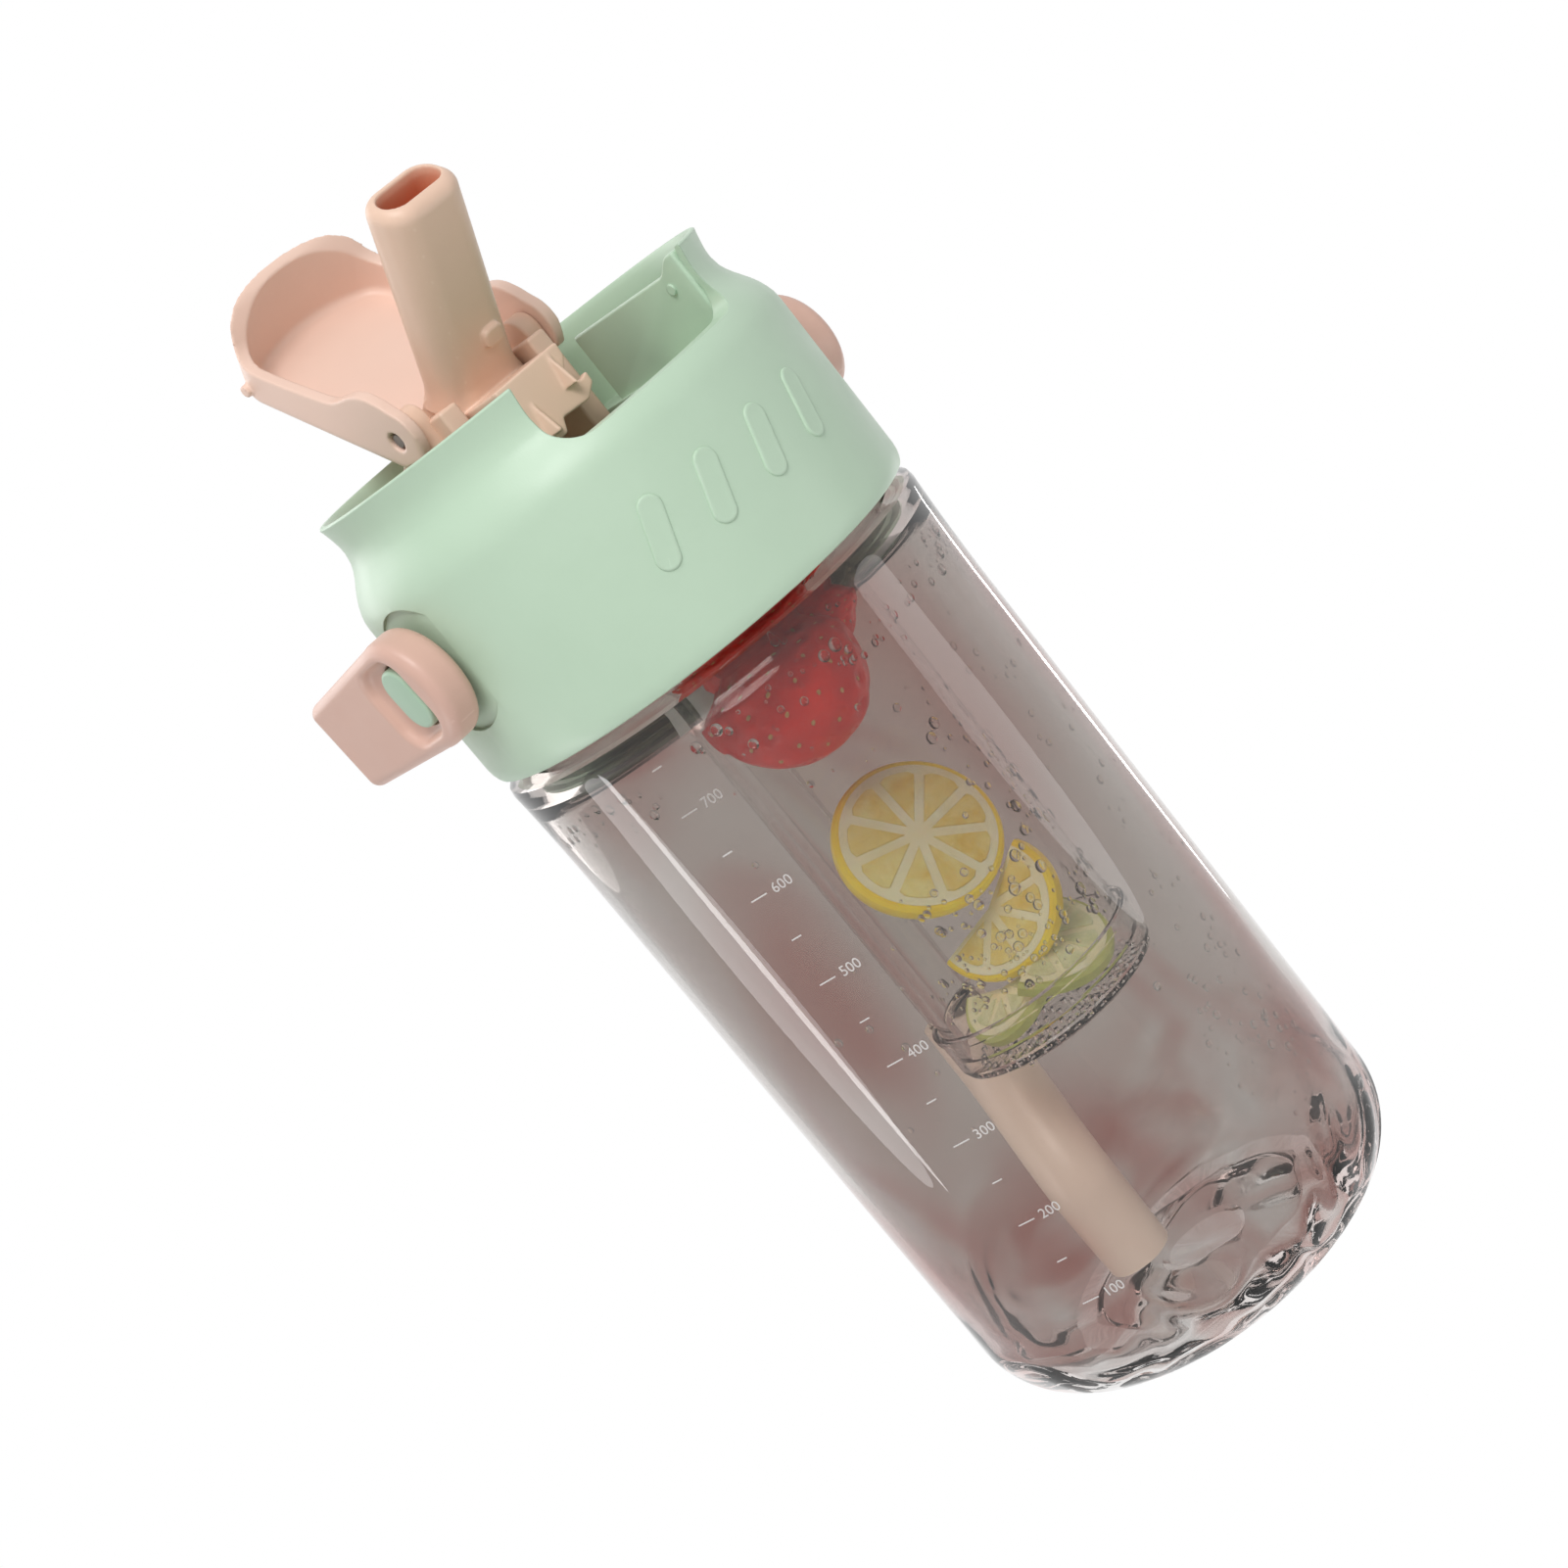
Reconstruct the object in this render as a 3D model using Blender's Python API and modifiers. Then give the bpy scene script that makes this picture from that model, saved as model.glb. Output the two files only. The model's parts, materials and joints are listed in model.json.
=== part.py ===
"""Tea infuser bottle: clear body, screw lid with a flip cover and a folding spout, hanging infuser and straw.

Units are metres, +Z up. The origin is the middle of the base, and the front of the lid faces -Y.
"""

import math

import bmesh
import bpy
from mathutils import Matrix, Vector

MM = 0.001
GAP = 0.3 * MM  # running or seating gap between neighbouring pieces
STEPS = 48  # facets round the large turned pieces
FINE_STEPS = 32  # facets round the small ones

# Bottle body
BODY_R = 44.0 * MM
BODY_WALL = 2.3 * MM
BODY_FLARE = 0.6 * MM
FLARE_LENGTH = 24.0 * MM
BASE_FILLET = 15.0 * MM
FLOOR_Z = 5.6 * MM
FLOOR_FILLET = 11.0 * MM
FOOT_SPREAD = 22.0 * MM
FOOT_INNER_R = BODY_R - FOOT_SPREAD
FOOT_PAD_R = 8.0 * MM
PUSH_UP = 1.6 * MM
SHOULDER_Z = 152.0 * MM
NECK_STEP = 4.7 * MM
NECK_R = BODY_R - NECK_STEP
NECK_WALL = 2.5 * MM
NECK_HEIGHT = 18.6 * MM
NECK_TOP_Z = SHOULDER_Z + NECK_HEIGHT

# Screw thread, on the neck outside and in the liner inside
THREAD_PITCH = 4.0 * MM
THREAD_TURNS = 1.6
THREAD_HEIGHT = 1.3 * MM
THREAD_ROOT = 2.0 * MM
THREAD_TIP = 0.8 * MM
THREAD_START = 5.5 * MM
THREAD_Z = SHOULDER_Z + THREAD_START

# Lid shell
LID_STEP = 1.2 * MM
LID_R = BODY_R + LID_STEP
LID_WALL = 2.2 * MM
LID_LIFT = 1.6 * MM  # of the lid's lower edge above the body's shoulder
LID_SKIRT = 34.9 * MM
DECK_STEP = 1.5 * MM
DECK_THICK = 2.0 * MM
CROWN_HEIGHT = 16.4 * MM
LID_BOTTOM_Z = SHOULDER_Z + LID_LIFT
LID_SHOULDER_Z = LID_BOTTOM_Z + LID_SKIRT
DECK_Z = LID_SHOULDER_Z + DECK_STEP
RIM_Z = DECK_Z + CROWN_HEIGHT
RIM_STEP = 4.2 * MM
WAIST_STEP = 5.1 * MM
RIM_R = LID_R - RIM_STEP
WAIST_R = LID_R - WAIST_STEP
WAIST_DROP = 5.4 * MM
WAIST_Z = RIM_Z - WAIST_DROP
RIM_WALL = 1.5 * MM
OVAL_ANGLES = (-25.5, -10.4, 5.4, 21.0)  # degrees from the front, towards +X
OVAL_RISE = 20.9 * MM
OVAL_Z = LID_BOTTOM_Z + OVAL_RISE
OVAL_LENGTH = 15.0 * MM
OVAL_WIDTH = 4.8 * MM
OVAL_LEAN = 13.0  # degrees
OVAL_LINE = 0.8 * MM
OVAL_HEIGHT = 0.4 * MM
COVER_HALF = 18.6 * MM
COVER_SIDE_GAP = 1.7 * MM
CHANNEL_HALF = COVER_HALF + COVER_SIDE_GAP
NOTCH_STEP = 0.6 * MM
NOTCH_HALF = CHANNEL_HALF + NOTCH_STEP
NOTCH_DEPTH = 13.2 * MM
NOTCH_Z = RIM_Z - NOTCH_DEPTH
NOTCH_FILLET = 4.5 * MM
CHANNEL_WALL = 1.8 * MM
CHANNEL_DROP = 2.8 * MM
CHANNEL_TOP_Z = RIM_Z - CHANNEL_DROP
CHANNEL_BACK_Y = 8.0 * MM
CHANNEL_RISE = 15.1 * MM  # from the waist's front back to the foot of the rise
CHANNEL_RISE_Y = CHANNEL_RISE - WAIST_R
DECK_LEDGE = 1.8 * MM
DECK_CUT_HALF = CHANNEL_HALF - DECK_LEDGE
DECK_CUT_FRONT = -14.0 * MM
DECK_CUT_BACK = 25.0 * MM

# Liner and seal
LINER_GAP = 0.4 * MM
LINER_WALL = 1.0 * MM
SEAL_THICK = 1.4 * MM
DISC_THICK = 2.5 * MM

# Cover hinge and spout pivot
HINGE_Y = 10.5 * MM
HINGE_RISE = 3.0 * MM
HINGE_Z = RIM_Z + HINGE_RISE
PIVOT_Y = 12.0 * MM
PIVOT_DROP = 3.4 * MM
PIVOT_Z = HINGE_Z - PIVOT_DROP
COVER_OPEN = 41.3  # degrees above level, towards the back
SPOUT_RAISED = 52.6  # degrees above level, towards the front

# Flip cover
SPOUT_REACH = 43.8 * MM
COVER_END_GAP = 3.2 * MM
COVER_LENGTH = SPOUT_REACH + COVER_END_GAP
COVER_WALL = 2.0 * MM
COVER_TOP = 7.0 * MM  # from the hinge axis to the outer face
COVER_LIP = 9.0 * MM  # from the hinge axis to the front lip
COVER_CORNER = 6.0 * MM
COVER_FRONT_BOW = 2.6 * MM
COVER_BACK = 6.0 * MM
EAR_R = 6.2 * MM
NUB_BACK = 8.5 * MM  # from the cover's front edge
NUB_ALONG = COVER_LENGTH - NUB_BACK
NUB_OUT = 0.9 * MM
NUB_R = 1.1 * MM

# Hinge pins
PIN_R = 1.25 * MM
PIN_CLEAR = 0.1 * MM
PIN_HEAD_SINK = 0.5 * MM
PIN_REACH = 12.9 * MM  # inner end, measured from the middle

# Spout
SPOUT_W = 16.5 * MM
SPOUT_D = 11.5 * MM
SPOUT_CORNER = 4.4 * MM
MOUTH_W = 11.6 * MM
MOUTH_D = 6.2 * MM
MOUTH_DEPTH = 30.0 * MM
BORE_R = 3.1 * MM
LIP_ROUND = 2.0 * MM
TRUNNION_R = 2.4 * MM
TRUNNION_REACH = 12.0 * MM
TRUNNION_CLEAR = 0.3 * MM
SPOUT_NUB_X = 2.6 * MM
SPOUT_NUB_UP = 14.0 * MM
SPOUT_NUB_OUT = 1.2 * MM
APRON_Y = -8.0 * MM
APRON_THICK = 2.0 * MM
APRON_DROP = 13.0 * MM
APRON_TOP_Z = PIVOT_Z
APRON_BOTTOM_Z = PIVOT_Z - APRON_DROP
SHELF_THICK = 2.4 * MM
GUSSET_OUT = 2.6 * MM

# Spout carrier
CHEEK_GAP = 0.95 * MM
EAR_GAP = 0.4 * MM
CHEEK_IN = SPOUT_W / 2 + CHEEK_GAP
CHEEK_OUT = COVER_HALF - COVER_WALL - EAR_GAP
CHEEK_FRONT = 4.0 * MM
CHEEK_BACK = 24.4 * MM
CHEEK_TOP_R = 4.6 * MM
BLOCK_FRONT = 14.8 * MM
BLOCK_DROP = 1.8 * MM
BLOCK_TOP_Z = PIVOT_Z - BLOCK_DROP
SEAT_CLEAR = 0.4 * MM
PORT_SEAL_R = 4.6 * MM
PORT_SEAL_THICK = 1.8 * MM
PORT_SEAL_CLEAR = 0.15 * MM
STEM_R = 5.0 * MM
STEM_BORE_R = 3.3 * MM
STEM_Y = 18.7 * MM
STEM_DROP = 9.6 * MM
STEM_END_Z = NECK_TOP_Z - STEM_DROP

# Straw, riser and connector
STEM_RISER_GAP = 0.6 * MM
RISER_R = 4.9 * MM
RISER_BORE_R = 3.9 * MM
RISER_TOP_Z = STEM_END_Z - STEM_RISER_GAP
RISER_BOTTOM_Z = 56.0 * MM
STRAW_R = 6.7 * MM
STRAW_BEND_TOP = 56.0 * MM
STRAW_BEND_END = 26.0 * MM
STRAW_TOP_Z = 66.0 * MM
STRAW_END = Vector((-8.0 * MM, 7.0 * MM, 9.0 * MM))
CONNECTOR_WALL = 1.5 * MM
CONNECTOR_GRIP = 11.4 * MM  # on the riser, and on the stem up to the disc
CONNECTOR_BOTTOM_Z = RISER_TOP_Z - CONNECTOR_GRIP

# Infuser
INFUSER_Y = -13.0 * MM
INFUSER_R = 19.3 * MM
INFUSER_WALL = 1.5 * MM
INFUSER_BOTTOM_Z = 66.0 * MM
SPIGOT_WALL = 1.6 * MM
SPIGOT_DROP = 7.6 * MM
SPIGOT_Z = NECK_TOP_Z - SPIGOT_DROP
STRAINER_WALL = 1.3 * MM
STRAINER_FLOOR_Z = 62.0 * MM
STRAINER_FLOOR = 1.6 * MM
STRAINER_RISE = 10.0 * MM
HOLE_R = 1.1 * MM
HOLE_RING_RADII = (5.2 * MM, 10.2 * MM, 15.2 * MM)
HOLE_RING_COUNTS = (6, 12, 16)

# Vent valve in the liner disc
VENT_X = 24.0 * MM
VENT_Y = 12.0 * MM
VENT_STEM_R = 1.5 * MM
VENT_CAP_R = 3.4 * MM
VENT_CAP = 1.0 * MM

# Strap ends, their studs and buttons
STRAP_RISE = 23.4 * MM
STRAP_Z = LID_BOTTOM_Z + STRAP_RISE
STRAP_GAP = 0.7 * MM
STRAP_THICK = 7.5 * MM
STRAP_IN = LID_R + STRAP_GAP
STRAP_OUT = STRAP_IN + STRAP_THICK
STRAP_R = 10.8 * MM
STRAP_TIP_Y = 35.0 * MM
STRAP_TIP_HALF = 9.2 * MM
STRAP_DROOP = 5.0  # degrees below level, towards the back
STUD_R = 3.2 * MM
STUD_HEAD_R = 5.0 * MM
STUD_HEAD_STEP = 1.3 * MM
STUD_HEAD_X = STRAP_IN + STUD_HEAD_STEP
STUD_HEAD = 1.0 * MM
SPOTFACE_DEPTH = 0.8 * MM
SPOTFACE_X = LID_R - SPOTFACE_DEPTH
SPOTFACE_R = 12.4 * MM
DISH_DEPTH = 1.9 * MM
DISH_FLOOR_X = STRAP_OUT - DISH_DEPTH
DISH_WALL = 0.8 * MM
DISH_HALF_Z = 7.8 * MM
DISH_FRONT = 5.4 * MM
DISH_BACK = 9.4 * MM
BUTTON_HALF_Z = 5.9 * MM
BUTTON_HALF_Y = 4.0 * MM
BUTTON_SINK = 0.4 * MM
BUTTON_OUT_X = STRAP_OUT - BUTTON_SINK
BUTTON_FLANGE_R = 5.8 * MM
BUTTON_FLANGE = 0.7 * MM
BUTTON_FLAT = 0.1 * MM
BUTTON_ROUND = 0.6 * MM
STRAP_ROUND = 1.3 * MM
STRAP_TIP_CORNER = 1.6 * MM
DISH_CORNER = 4.6 * MM
STRAP_SLOT = 3.0 * MM
STRAP_SLOT_HALF = 6.8 * MM
STRAP_SLOT_DEPTH = 13.0 * MM

# Sizes worked out from the ones above
NECK_BORE_R = NECK_R - NECK_WALL
LID_BORE_R = LID_R - LID_WALL
LINER_R = LID_BORE_R - LINER_GAP
LINER_BORE_R = LINER_R - LINER_WALL
SEAL_Z = NECK_TOP_Z + GAP
DISC_Z = SEAL_Z + SEAL_THICK + GAP
DISC_TOP_Z = DISC_Z + DISC_THICK
CARRIER_Z = DISC_TOP_Z + GAP
HINGE = Vector((0, HINGE_Y, HINGE_Z))
PIVOT = Vector((0, PIVOT_Y, PIVOT_Z))
DRUM_R = SPOUT_D / 2
STRAW_BORE_R = RISER_R + GAP

COLOURS = {
    "mint": (0.60, 0.76, 0.66, 1.0),
    "pink": (0.90, 0.69, 0.61, 1.0),
    "clear": (0.92, 0.94, 0.94, 0.3),
    "silicone": (0.92, 0.90, 0.87, 0.8),
    "steel": (0.66, 0.67, 0.68, 1.0),
}


def clear_scene():
    for obj in list(bpy.data.objects):
        bpy.data.objects.remove(obj, do_unlink=True)


def new_collection(name):
    found = bpy.data.collections.new(name)
    bpy.context.scene.collection.children.link(found)
    return found


def material(name, roughness, metallic=0.0):
    mat = bpy.data.materials.new(name)
    mat.use_nodes = True
    shader = mat.node_tree.nodes["Principled BSDF"]
    shader.inputs["Base Color"].default_value = COLOURS[name]
    shader.inputs["Alpha"].default_value = COLOURS[name][3]
    shader.inputs["Roughness"].default_value = roughness
    shader.inputs["Metallic"].default_value = metallic
    return mat


clear_scene()
PARTS = new_collection("tea_infuser_bottle")
CUTTERS = new_collection("cutters")
MATERIALS = {
    "mint": material("mint", 0.45),
    "pink": material("pink", 0.5),
    "clear": material("clear", 0.05),
    "silicone": material("silicone", 0.6),
    "steel": material("steel", 0.3, 1.0),
}


def add_object(name, mesh, finish=None):
    """A part with its finish, or a cutter when there is none."""
    obj = bpy.data.objects.new(name, mesh)
    if finish is None:
        CUTTERS.objects.link(obj)
        obj.hide_render = True
        obj.display_type = "WIRE"
    else:
        PARTS.objects.link(obj)
        mesh.materials.append(MATERIALS[finish])
    return obj


def mesh_of(name, bm):
    bmesh.ops.recalc_face_normals(bm, faces=bm.faces)
    mesh = bpy.data.meshes.new(name)
    bm.to_mesh(mesh)
    bm.free()
    return mesh


def smooth(obj, degrees=35.0):
    obj.data.shade_smooth()
    obj.data.set_sharp_from_angle(angle=math.radians(degrees))


def turned(name, profile, finish=None, centre=(0.0, 0.0), steps=STEPS, closed=False):
    """A profile of (radius, height) points turned about a vertical axis."""
    mesh = bpy.data.meshes.new(name)
    edges = [(i, i + 1) for i in range(len(profile) - 1)]
    if closed:
        edges.append((len(profile) - 1, 0))
    mesh.from_pydata([(r, 0, z) for r, z in profile], edges, [])
    obj = add_object(name, mesh, finish)
    obj.location = (centre[0], centre[1], 0)
    screw = obj.modifiers.new("turn", "SCREW")
    screw.steps = steps
    screw.render_steps = steps
    screw.use_merge_vertices = True
    screw.merge_threshold = 0.00001
    screw.use_smooth_shade = True
    return obj


def ring(name, inner, outer, low, high, finish=None, centre=(0.0, 0.0), steps=FINE_STEPS):
    profile = [(outer, high), (outer, low), (inner, low), (inner, high)]
    return turned(name, profile, finish, centre, steps, closed=True)


AXES = {
    "X": Matrix(((0, 0, 1, 0), (1, 0, 0, 0), (0, 1, 0, 0), (0, 0, 0, 1))),
    "Y": Matrix(((1, 0, 0, 0), (0, 0, -1, 0), (0, 1, 0, 0), (0, 0, 0, 1))),
    "Z": Matrix.Identity(4),
}


def prism(name, outline, axis, low, high, finish=None, frame=None):
    """An outline pushed along an axis: (y, z) points along X, (x, z) along Y, (x, y) along Z."""
    bm = bmesh.new()
    verts = [bm.verts.new((u, v, 0)) for u, v in outline]
    face = bm.faces.new(verts)
    pushed = bmesh.ops.extrude_face_region(bm, geom=[face])
    top = [v for v in pushed["geom"] if isinstance(v, bmesh.types.BMVert)]
    bottom = [v for v in bm.verts if v not in top]
    sign = -1 if axis == "Y" else 1
    for v in bottom:
        v.co.z = sign * low
    for v in top:
        v.co.z = sign * high
    bm.transform(AXES[axis])
    if frame is not None:
        bm.transform(frame)
    return add_object(name, mesh_of(name, bm), finish)


def box(name, low, high, finish=None, frame=None):
    outline = [(low[0], low[1]), (high[0], low[1]), (high[0], high[1]), (low[0], high[1])]
    return prism(name, outline, "Z", low[2], high[2], finish, frame)


def rod(name, start, end, radius, finish=None, facets=24):
    start, end = Vector(start), Vector(end)
    along = end - start
    bm = bmesh.new()
    turn = along.to_track_quat("Z", "Y").to_matrix().to_4x4()
    place = Matrix.Translation((start + end) / 2) @ turn
    bmesh.ops.create_cone(
        bm, cap_ends=True, segments=facets, radius1=radius, radius2=radius, depth=along.length, matrix=place
    )
    return add_object(name, mesh_of(name, bm), finish)


def combine(obj, other, operation):
    step = obj.modifiers.new(other.name, "BOOLEAN")
    step.operation = operation
    step.object = other
    step.solver = "EXACT"


def cut(obj, *others):
    for other in others:
        combine(obj, other, "DIFFERENCE")


def join(obj, *others):
    for other in others:
        combine(obj, other, "UNION")


def rounded(obj, width, segments=2, degrees=50.0):
    bevel = obj.modifiers.new("round", "BEVEL")
    bevel.width = width
    bevel.segments = segments
    bevel.limit_method = "ANGLE"
    bevel.angle_limit = math.radians(degrees)
    return obj


def set_origin(obj, point):
    """Moves an object's origin to a point and leaves its mesh where it is."""
    shift = Vector(point) - obj.location
    obj.data.transform(Matrix.Translation(-shift))
    obj.location = Vector(point)


def arc(centre, radius, start, end, count):
    """Points on a circle, with the angles in degrees."""
    found = []
    for i in range(count + 1):
        angle = math.radians(start + (end - start) * i / count)
        found.append((centre[0] + radius * math.cos(angle), centre[1] + radius * math.sin(angle)))
    return found


def rounded_box(half_u, half_v, radius, count=4):
    """The outline of a rectangle with round corners."""
    u, v = half_u - radius, half_v - radius
    found = []
    for centre, start in (((u, v), 0), ((-u, v), 90), ((-u, -v), 180), ((u, -v), 270)):
        found += arc(centre, radius, start, start + 90, count)
    return found


def mirrored(outline):
    return [(-u, v) for u, v in outline]


def thread(name, root_r, tip_r, steps_per_turn=28):
    """A helical ridge, thin at both ends, between a root radius and a tip radius."""
    bm = bmesh.new()
    count = int(THREAD_TURNS * steps_per_turn)
    sections = []
    for i in range(count + 1):
        turn = i / steps_per_turn
        angle = turn * math.tau
        grow = min(1.0, i / 3, (count - i) / 3)
        reach = root_r + (tip_r - root_r) * max(grow, 0.15)
        z = THREAD_Z + turn * THREAD_PITCH
        corners = (
            (root_r, -THREAD_ROOT / 2),
            (reach, -THREAD_TIP / 2),
            (reach, THREAD_TIP / 2),
            (root_r, THREAD_ROOT / 2),
        )
        sections.append([bm.verts.new((r * math.cos(angle), r * math.sin(angle), z + dz)) for r, dz in corners])
    for one, two in zip(sections, sections[1:]):
        for i in range(4):
            j = (i + 1) % 4
            bm.faces.new((one[i], one[j], two[j], two[i]))
    bm.faces.new(sections[0])
    bm.faces.new(sections[-1])
    return add_object(name, mesh_of(name, bm))


def make_body():
    foot_r = BODY_R - BASE_FILLET
    inner_r = BODY_R - BODY_WALL
    profile = [(0, 0), (FOOT_PAD_R, 0), (FOOT_PAD_R + PUSH_UP, PUSH_UP), (FOOT_INNER_R, PUSH_UP)]
    profile += [(FOOT_INNER_R + PUSH_UP, 0)]
    profile += arc((foot_r, BASE_FILLET), BASE_FILLET, -90, 0, 8)
    flare_start = SHOULDER_Z - FLARE_LENGTH
    for i in range(5):
        share = i / 4
        profile.append((BODY_R + BODY_FLARE * share**2, flare_start + FLARE_LENGTH * 0.92 * share))
    profile += [(BODY_R - 0.5 * MM, SHOULDER_Z - 0.3 * MM), (NECK_R + 1.5 * MM, SHOULDER_Z)]
    profile += [(NECK_R, SHOULDER_Z + 1.2 * MM), (NECK_R, NECK_TOP_Z - 0.4 * MM)]
    profile += [(NECK_R - 0.4 * MM, NECK_TOP_Z), (NECK_BORE_R + 0.4 * MM, NECK_TOP_Z)]
    profile += [(NECK_BORE_R, NECK_TOP_Z - 0.4 * MM), (NECK_BORE_R, SHOULDER_Z - 1.0 * MM)]
    profile += [(inner_r - 1.2 * MM, SHOULDER_Z - 4.5 * MM), (inner_r, SHOULDER_Z - 8.0 * MM)]
    floor_centre = (inner_r - FLOOR_FILLET, FLOOR_Z + FLOOR_FILLET)
    profile += arc(floor_centre, FLOOR_FILLET, 0, -90, 7)
    profile += [(0, FLOOR_Z)]
    body = turned("bottle_body", profile[::-1], "clear")
    join(body, thread("neck_thread", NECK_R - 0.5 * MM, NECK_R + THREAD_HEIGHT))
    return body


def crown_outline(offset):
    """Radius and height of the crown's side, from the rim down to the barrel, moved in by an offset."""
    return [
        (RIM_R - offset, RIM_Z),
        (RIM_R - 0.6 * MM - offset, RIM_Z - 3.0 * MM),
        (WAIST_R - offset, WAIST_Z),
        (WAIST_R + 0.3 * MM - offset, WAIST_Z - 2.2 * MM),
        (WAIST_R + 1.5 * MM - offset, WAIST_Z - 4.7 * MM),
        (WAIST_R + 3.3 * MM - offset, WAIST_Z - 7.5 * MM),
    ]


def make_lid_shell():
    inside = crown_outline(RIM_WALL)[:4]
    profile = [(0, DECK_Z), (WAIST_R - RIM_WALL - 0.4 * MM, DECK_Z)] + inside[::-1]
    profile += crown_outline(0)
    profile += [(LID_R - 0.5 * MM, LID_SHOULDER_Z + 2.4 * MM), (LID_R - 0.1 * MM, LID_SHOULDER_Z + 1.0 * MM)]
    profile += [(LID_R, LID_SHOULDER_Z), (LID_R, LID_BOTTOM_Z + 3.0 * MM)]
    profile += [(LID_R - 0.3 * MM, LID_BOTTOM_Z + 1.0 * MM), (LID_R - 1.1 * MM, LID_BOTTOM_Z)]
    profile += [(LID_BORE_R, LID_BOTTOM_Z), (LID_BORE_R, DECK_Z - DECK_THICK - 1.5 * MM)]
    profile += [(LID_BORE_R - 1.5 * MM, DECK_Z - DECK_THICK), (0, DECK_Z - DECK_THICK)]
    shell = turned("lid_shell", profile, "mint")

    reach = 2 * RIM_R
    notch = [(NOTCH_HALF, reach * 3)]
    notch += arc((NOTCH_HALF - NOTCH_FILLET, NOTCH_Z + NOTCH_FILLET), NOTCH_FILLET, 0, -90, 5)
    notch += mirrored(notch)[::-1]
    cut(shell, prism("notch_cutter", notch, "Y", -reach, CHANNEL_RISE_Y))

    opening_low = (-DECK_CUT_HALF, DECK_CUT_FRONT, DECK_Z - 3 * DECK_THICK)
    opening_high = (DECK_CUT_HALF, DECK_CUT_BACK, DECK_Z + DECK_THICK)
    cut(shell, box("deck_cutter", opening_low, opening_high))

    outer = CHANNEL_HALF + CHANNEL_WALL
    front_y = -math.sqrt((WAIST_R - RIM_WALL / 2) ** 2 - outer**2)
    low = DECK_Z - DECK_THICK / 2
    high = RIM_Z - 0.4 * MM
    side = [(CHANNEL_BACK_Y, low), (front_y, low), (front_y, high), (CHANNEL_RISE_Y - 5.5 * MM, high)]
    side += [(CHANNEL_RISE_Y - 3.0 * MM, high - 0.8 * MM), (CHANNEL_RISE_Y, CHANNEL_TOP_Z)]
    side += [(CHANNEL_BACK_Y, CHANNEL_TOP_Z)]
    for hand, place in (("left", -1), ("right", 1)):
        ends = sorted((place * CHANNEL_HALF, place * outer))
        join(shell, prism("channel_wall_" + hand, side, "X", *ends))
        face_x = place * SPOTFACE_X
        stud_in = (place * (LID_BORE_R + 0.5 * MM), 0, STRAP_Z)
        head_in = (place * STUD_HEAD_X, 0, STRAP_Z)
        head_out = (place * (STUD_HEAD_X + STUD_HEAD), 0, STRAP_Z)
        far = (place * (LID_R + STRAP_OUT), 0, STRAP_Z)
        cut(shell, rod("spotface_" + hand, (face_x, 0, STRAP_Z), far, SPOTFACE_R, facets=32))
        stud_out = (place * (STUD_HEAD_X + STUD_HEAD / 2), 0, STRAP_Z)
        join(shell, rod("stud_" + hand, stud_in, stud_out, STUD_R, facets=20))
        join(shell, rod("stud_head_" + hand, head_in, head_out, STUD_HEAD_R, facets=24))
    for i, degrees in enumerate(OVAL_ANGLES):
        join(shell, oval(i, degrees))
    return shell


def oval(index, degrees):
    """One raised capsule-shaped outline, bent round the lid's barrel."""
    half_w, half_l = OVAL_WIDTH / 2, OVAL_LENGTH / 2
    outer = rounded_box(half_w, half_l, half_w - 0.01 * MM, 4)
    inner = rounded_box(half_w - OVAL_LINE, half_l - OVAL_LINE, half_w - OVAL_LINE - 0.01 * MM, 4)
    lean = math.radians(OVAL_LEAN)
    bm = bmesh.new()
    loops = []
    for outline in (outer, inner):
        for radius in (LID_R - 0.5 * MM, LID_R + OVAL_HEIGHT):
            loop = []
            for u, v in outline:
                across = u * math.cos(lean) + v * math.sin(lean)
                up = v * math.cos(lean) - u * math.sin(lean)
                angle = math.radians(degrees) + across / LID_R
                loop.append(bm.verts.new((radius * math.sin(angle), -radius * math.cos(angle), OVAL_Z + up)))
            loops.append(loop)
    order = (0, 1, 3, 2)
    count = len(outer)
    for i in range(count):
        j = (i + 1) % count
        for k in range(4):
            one, two = loops[order[k]], loops[order[(k + 1) % 4]]
            bm.faces.new((one[i], one[j], two[j], two[i]))
    return add_object(f"oval_{index}", mesh_of(f"oval_{index}", bm))


def make_liner():
    skirt_z = LID_BOTTOM_Z + 1.4 * MM
    upstand_z = DECK_Z - DECK_THICK - LINER_GAP
    upstand_r = LINER_BORE_R - 0.4 * MM
    profile = [(0, DISC_TOP_Z), (upstand_r, DISC_TOP_Z), (upstand_r, upstand_z - 1.5 * MM)]
    profile += [(LINER_R - 1.5 * MM, upstand_z), (LINER_R, upstand_z - 1.5 * MM), (LINER_R, skirt_z)]
    profile += [(LINER_BORE_R, skirt_z), (LINER_BORE_R, DISC_Z), (0, DISC_Z)]
    liner = turned("lid_liner", profile, "mint")
    join(liner, thread("liner_thread", LINER_BORE_R + 0.4 * MM, NECK_R + THREAD_HEIGHT + GAP))
    spigot_r = INFUSER_R - INFUSER_WALL - GAP
    spigot_top = DISC_Z + DISC_THICK / 2
    join(liner, ring("spigot", spigot_r - SPIGOT_WALL, spigot_r, SPIGOT_Z, spigot_top, centre=(0, INFUSER_Y)))
    low, high = DISC_Z - DISC_THICK, DISC_TOP_Z + DISC_THICK
    cut(liner, rod("stem_hole", (0, STEM_Y, low), (0, STEM_Y, high), STEM_R + GAP, facets=32))
    cut(liner, rod("vent_hole", (VENT_X, VENT_Y, low), (VENT_X, VENT_Y, high), VENT_STEM_R + GAP, facets=16))
    return liner


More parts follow.
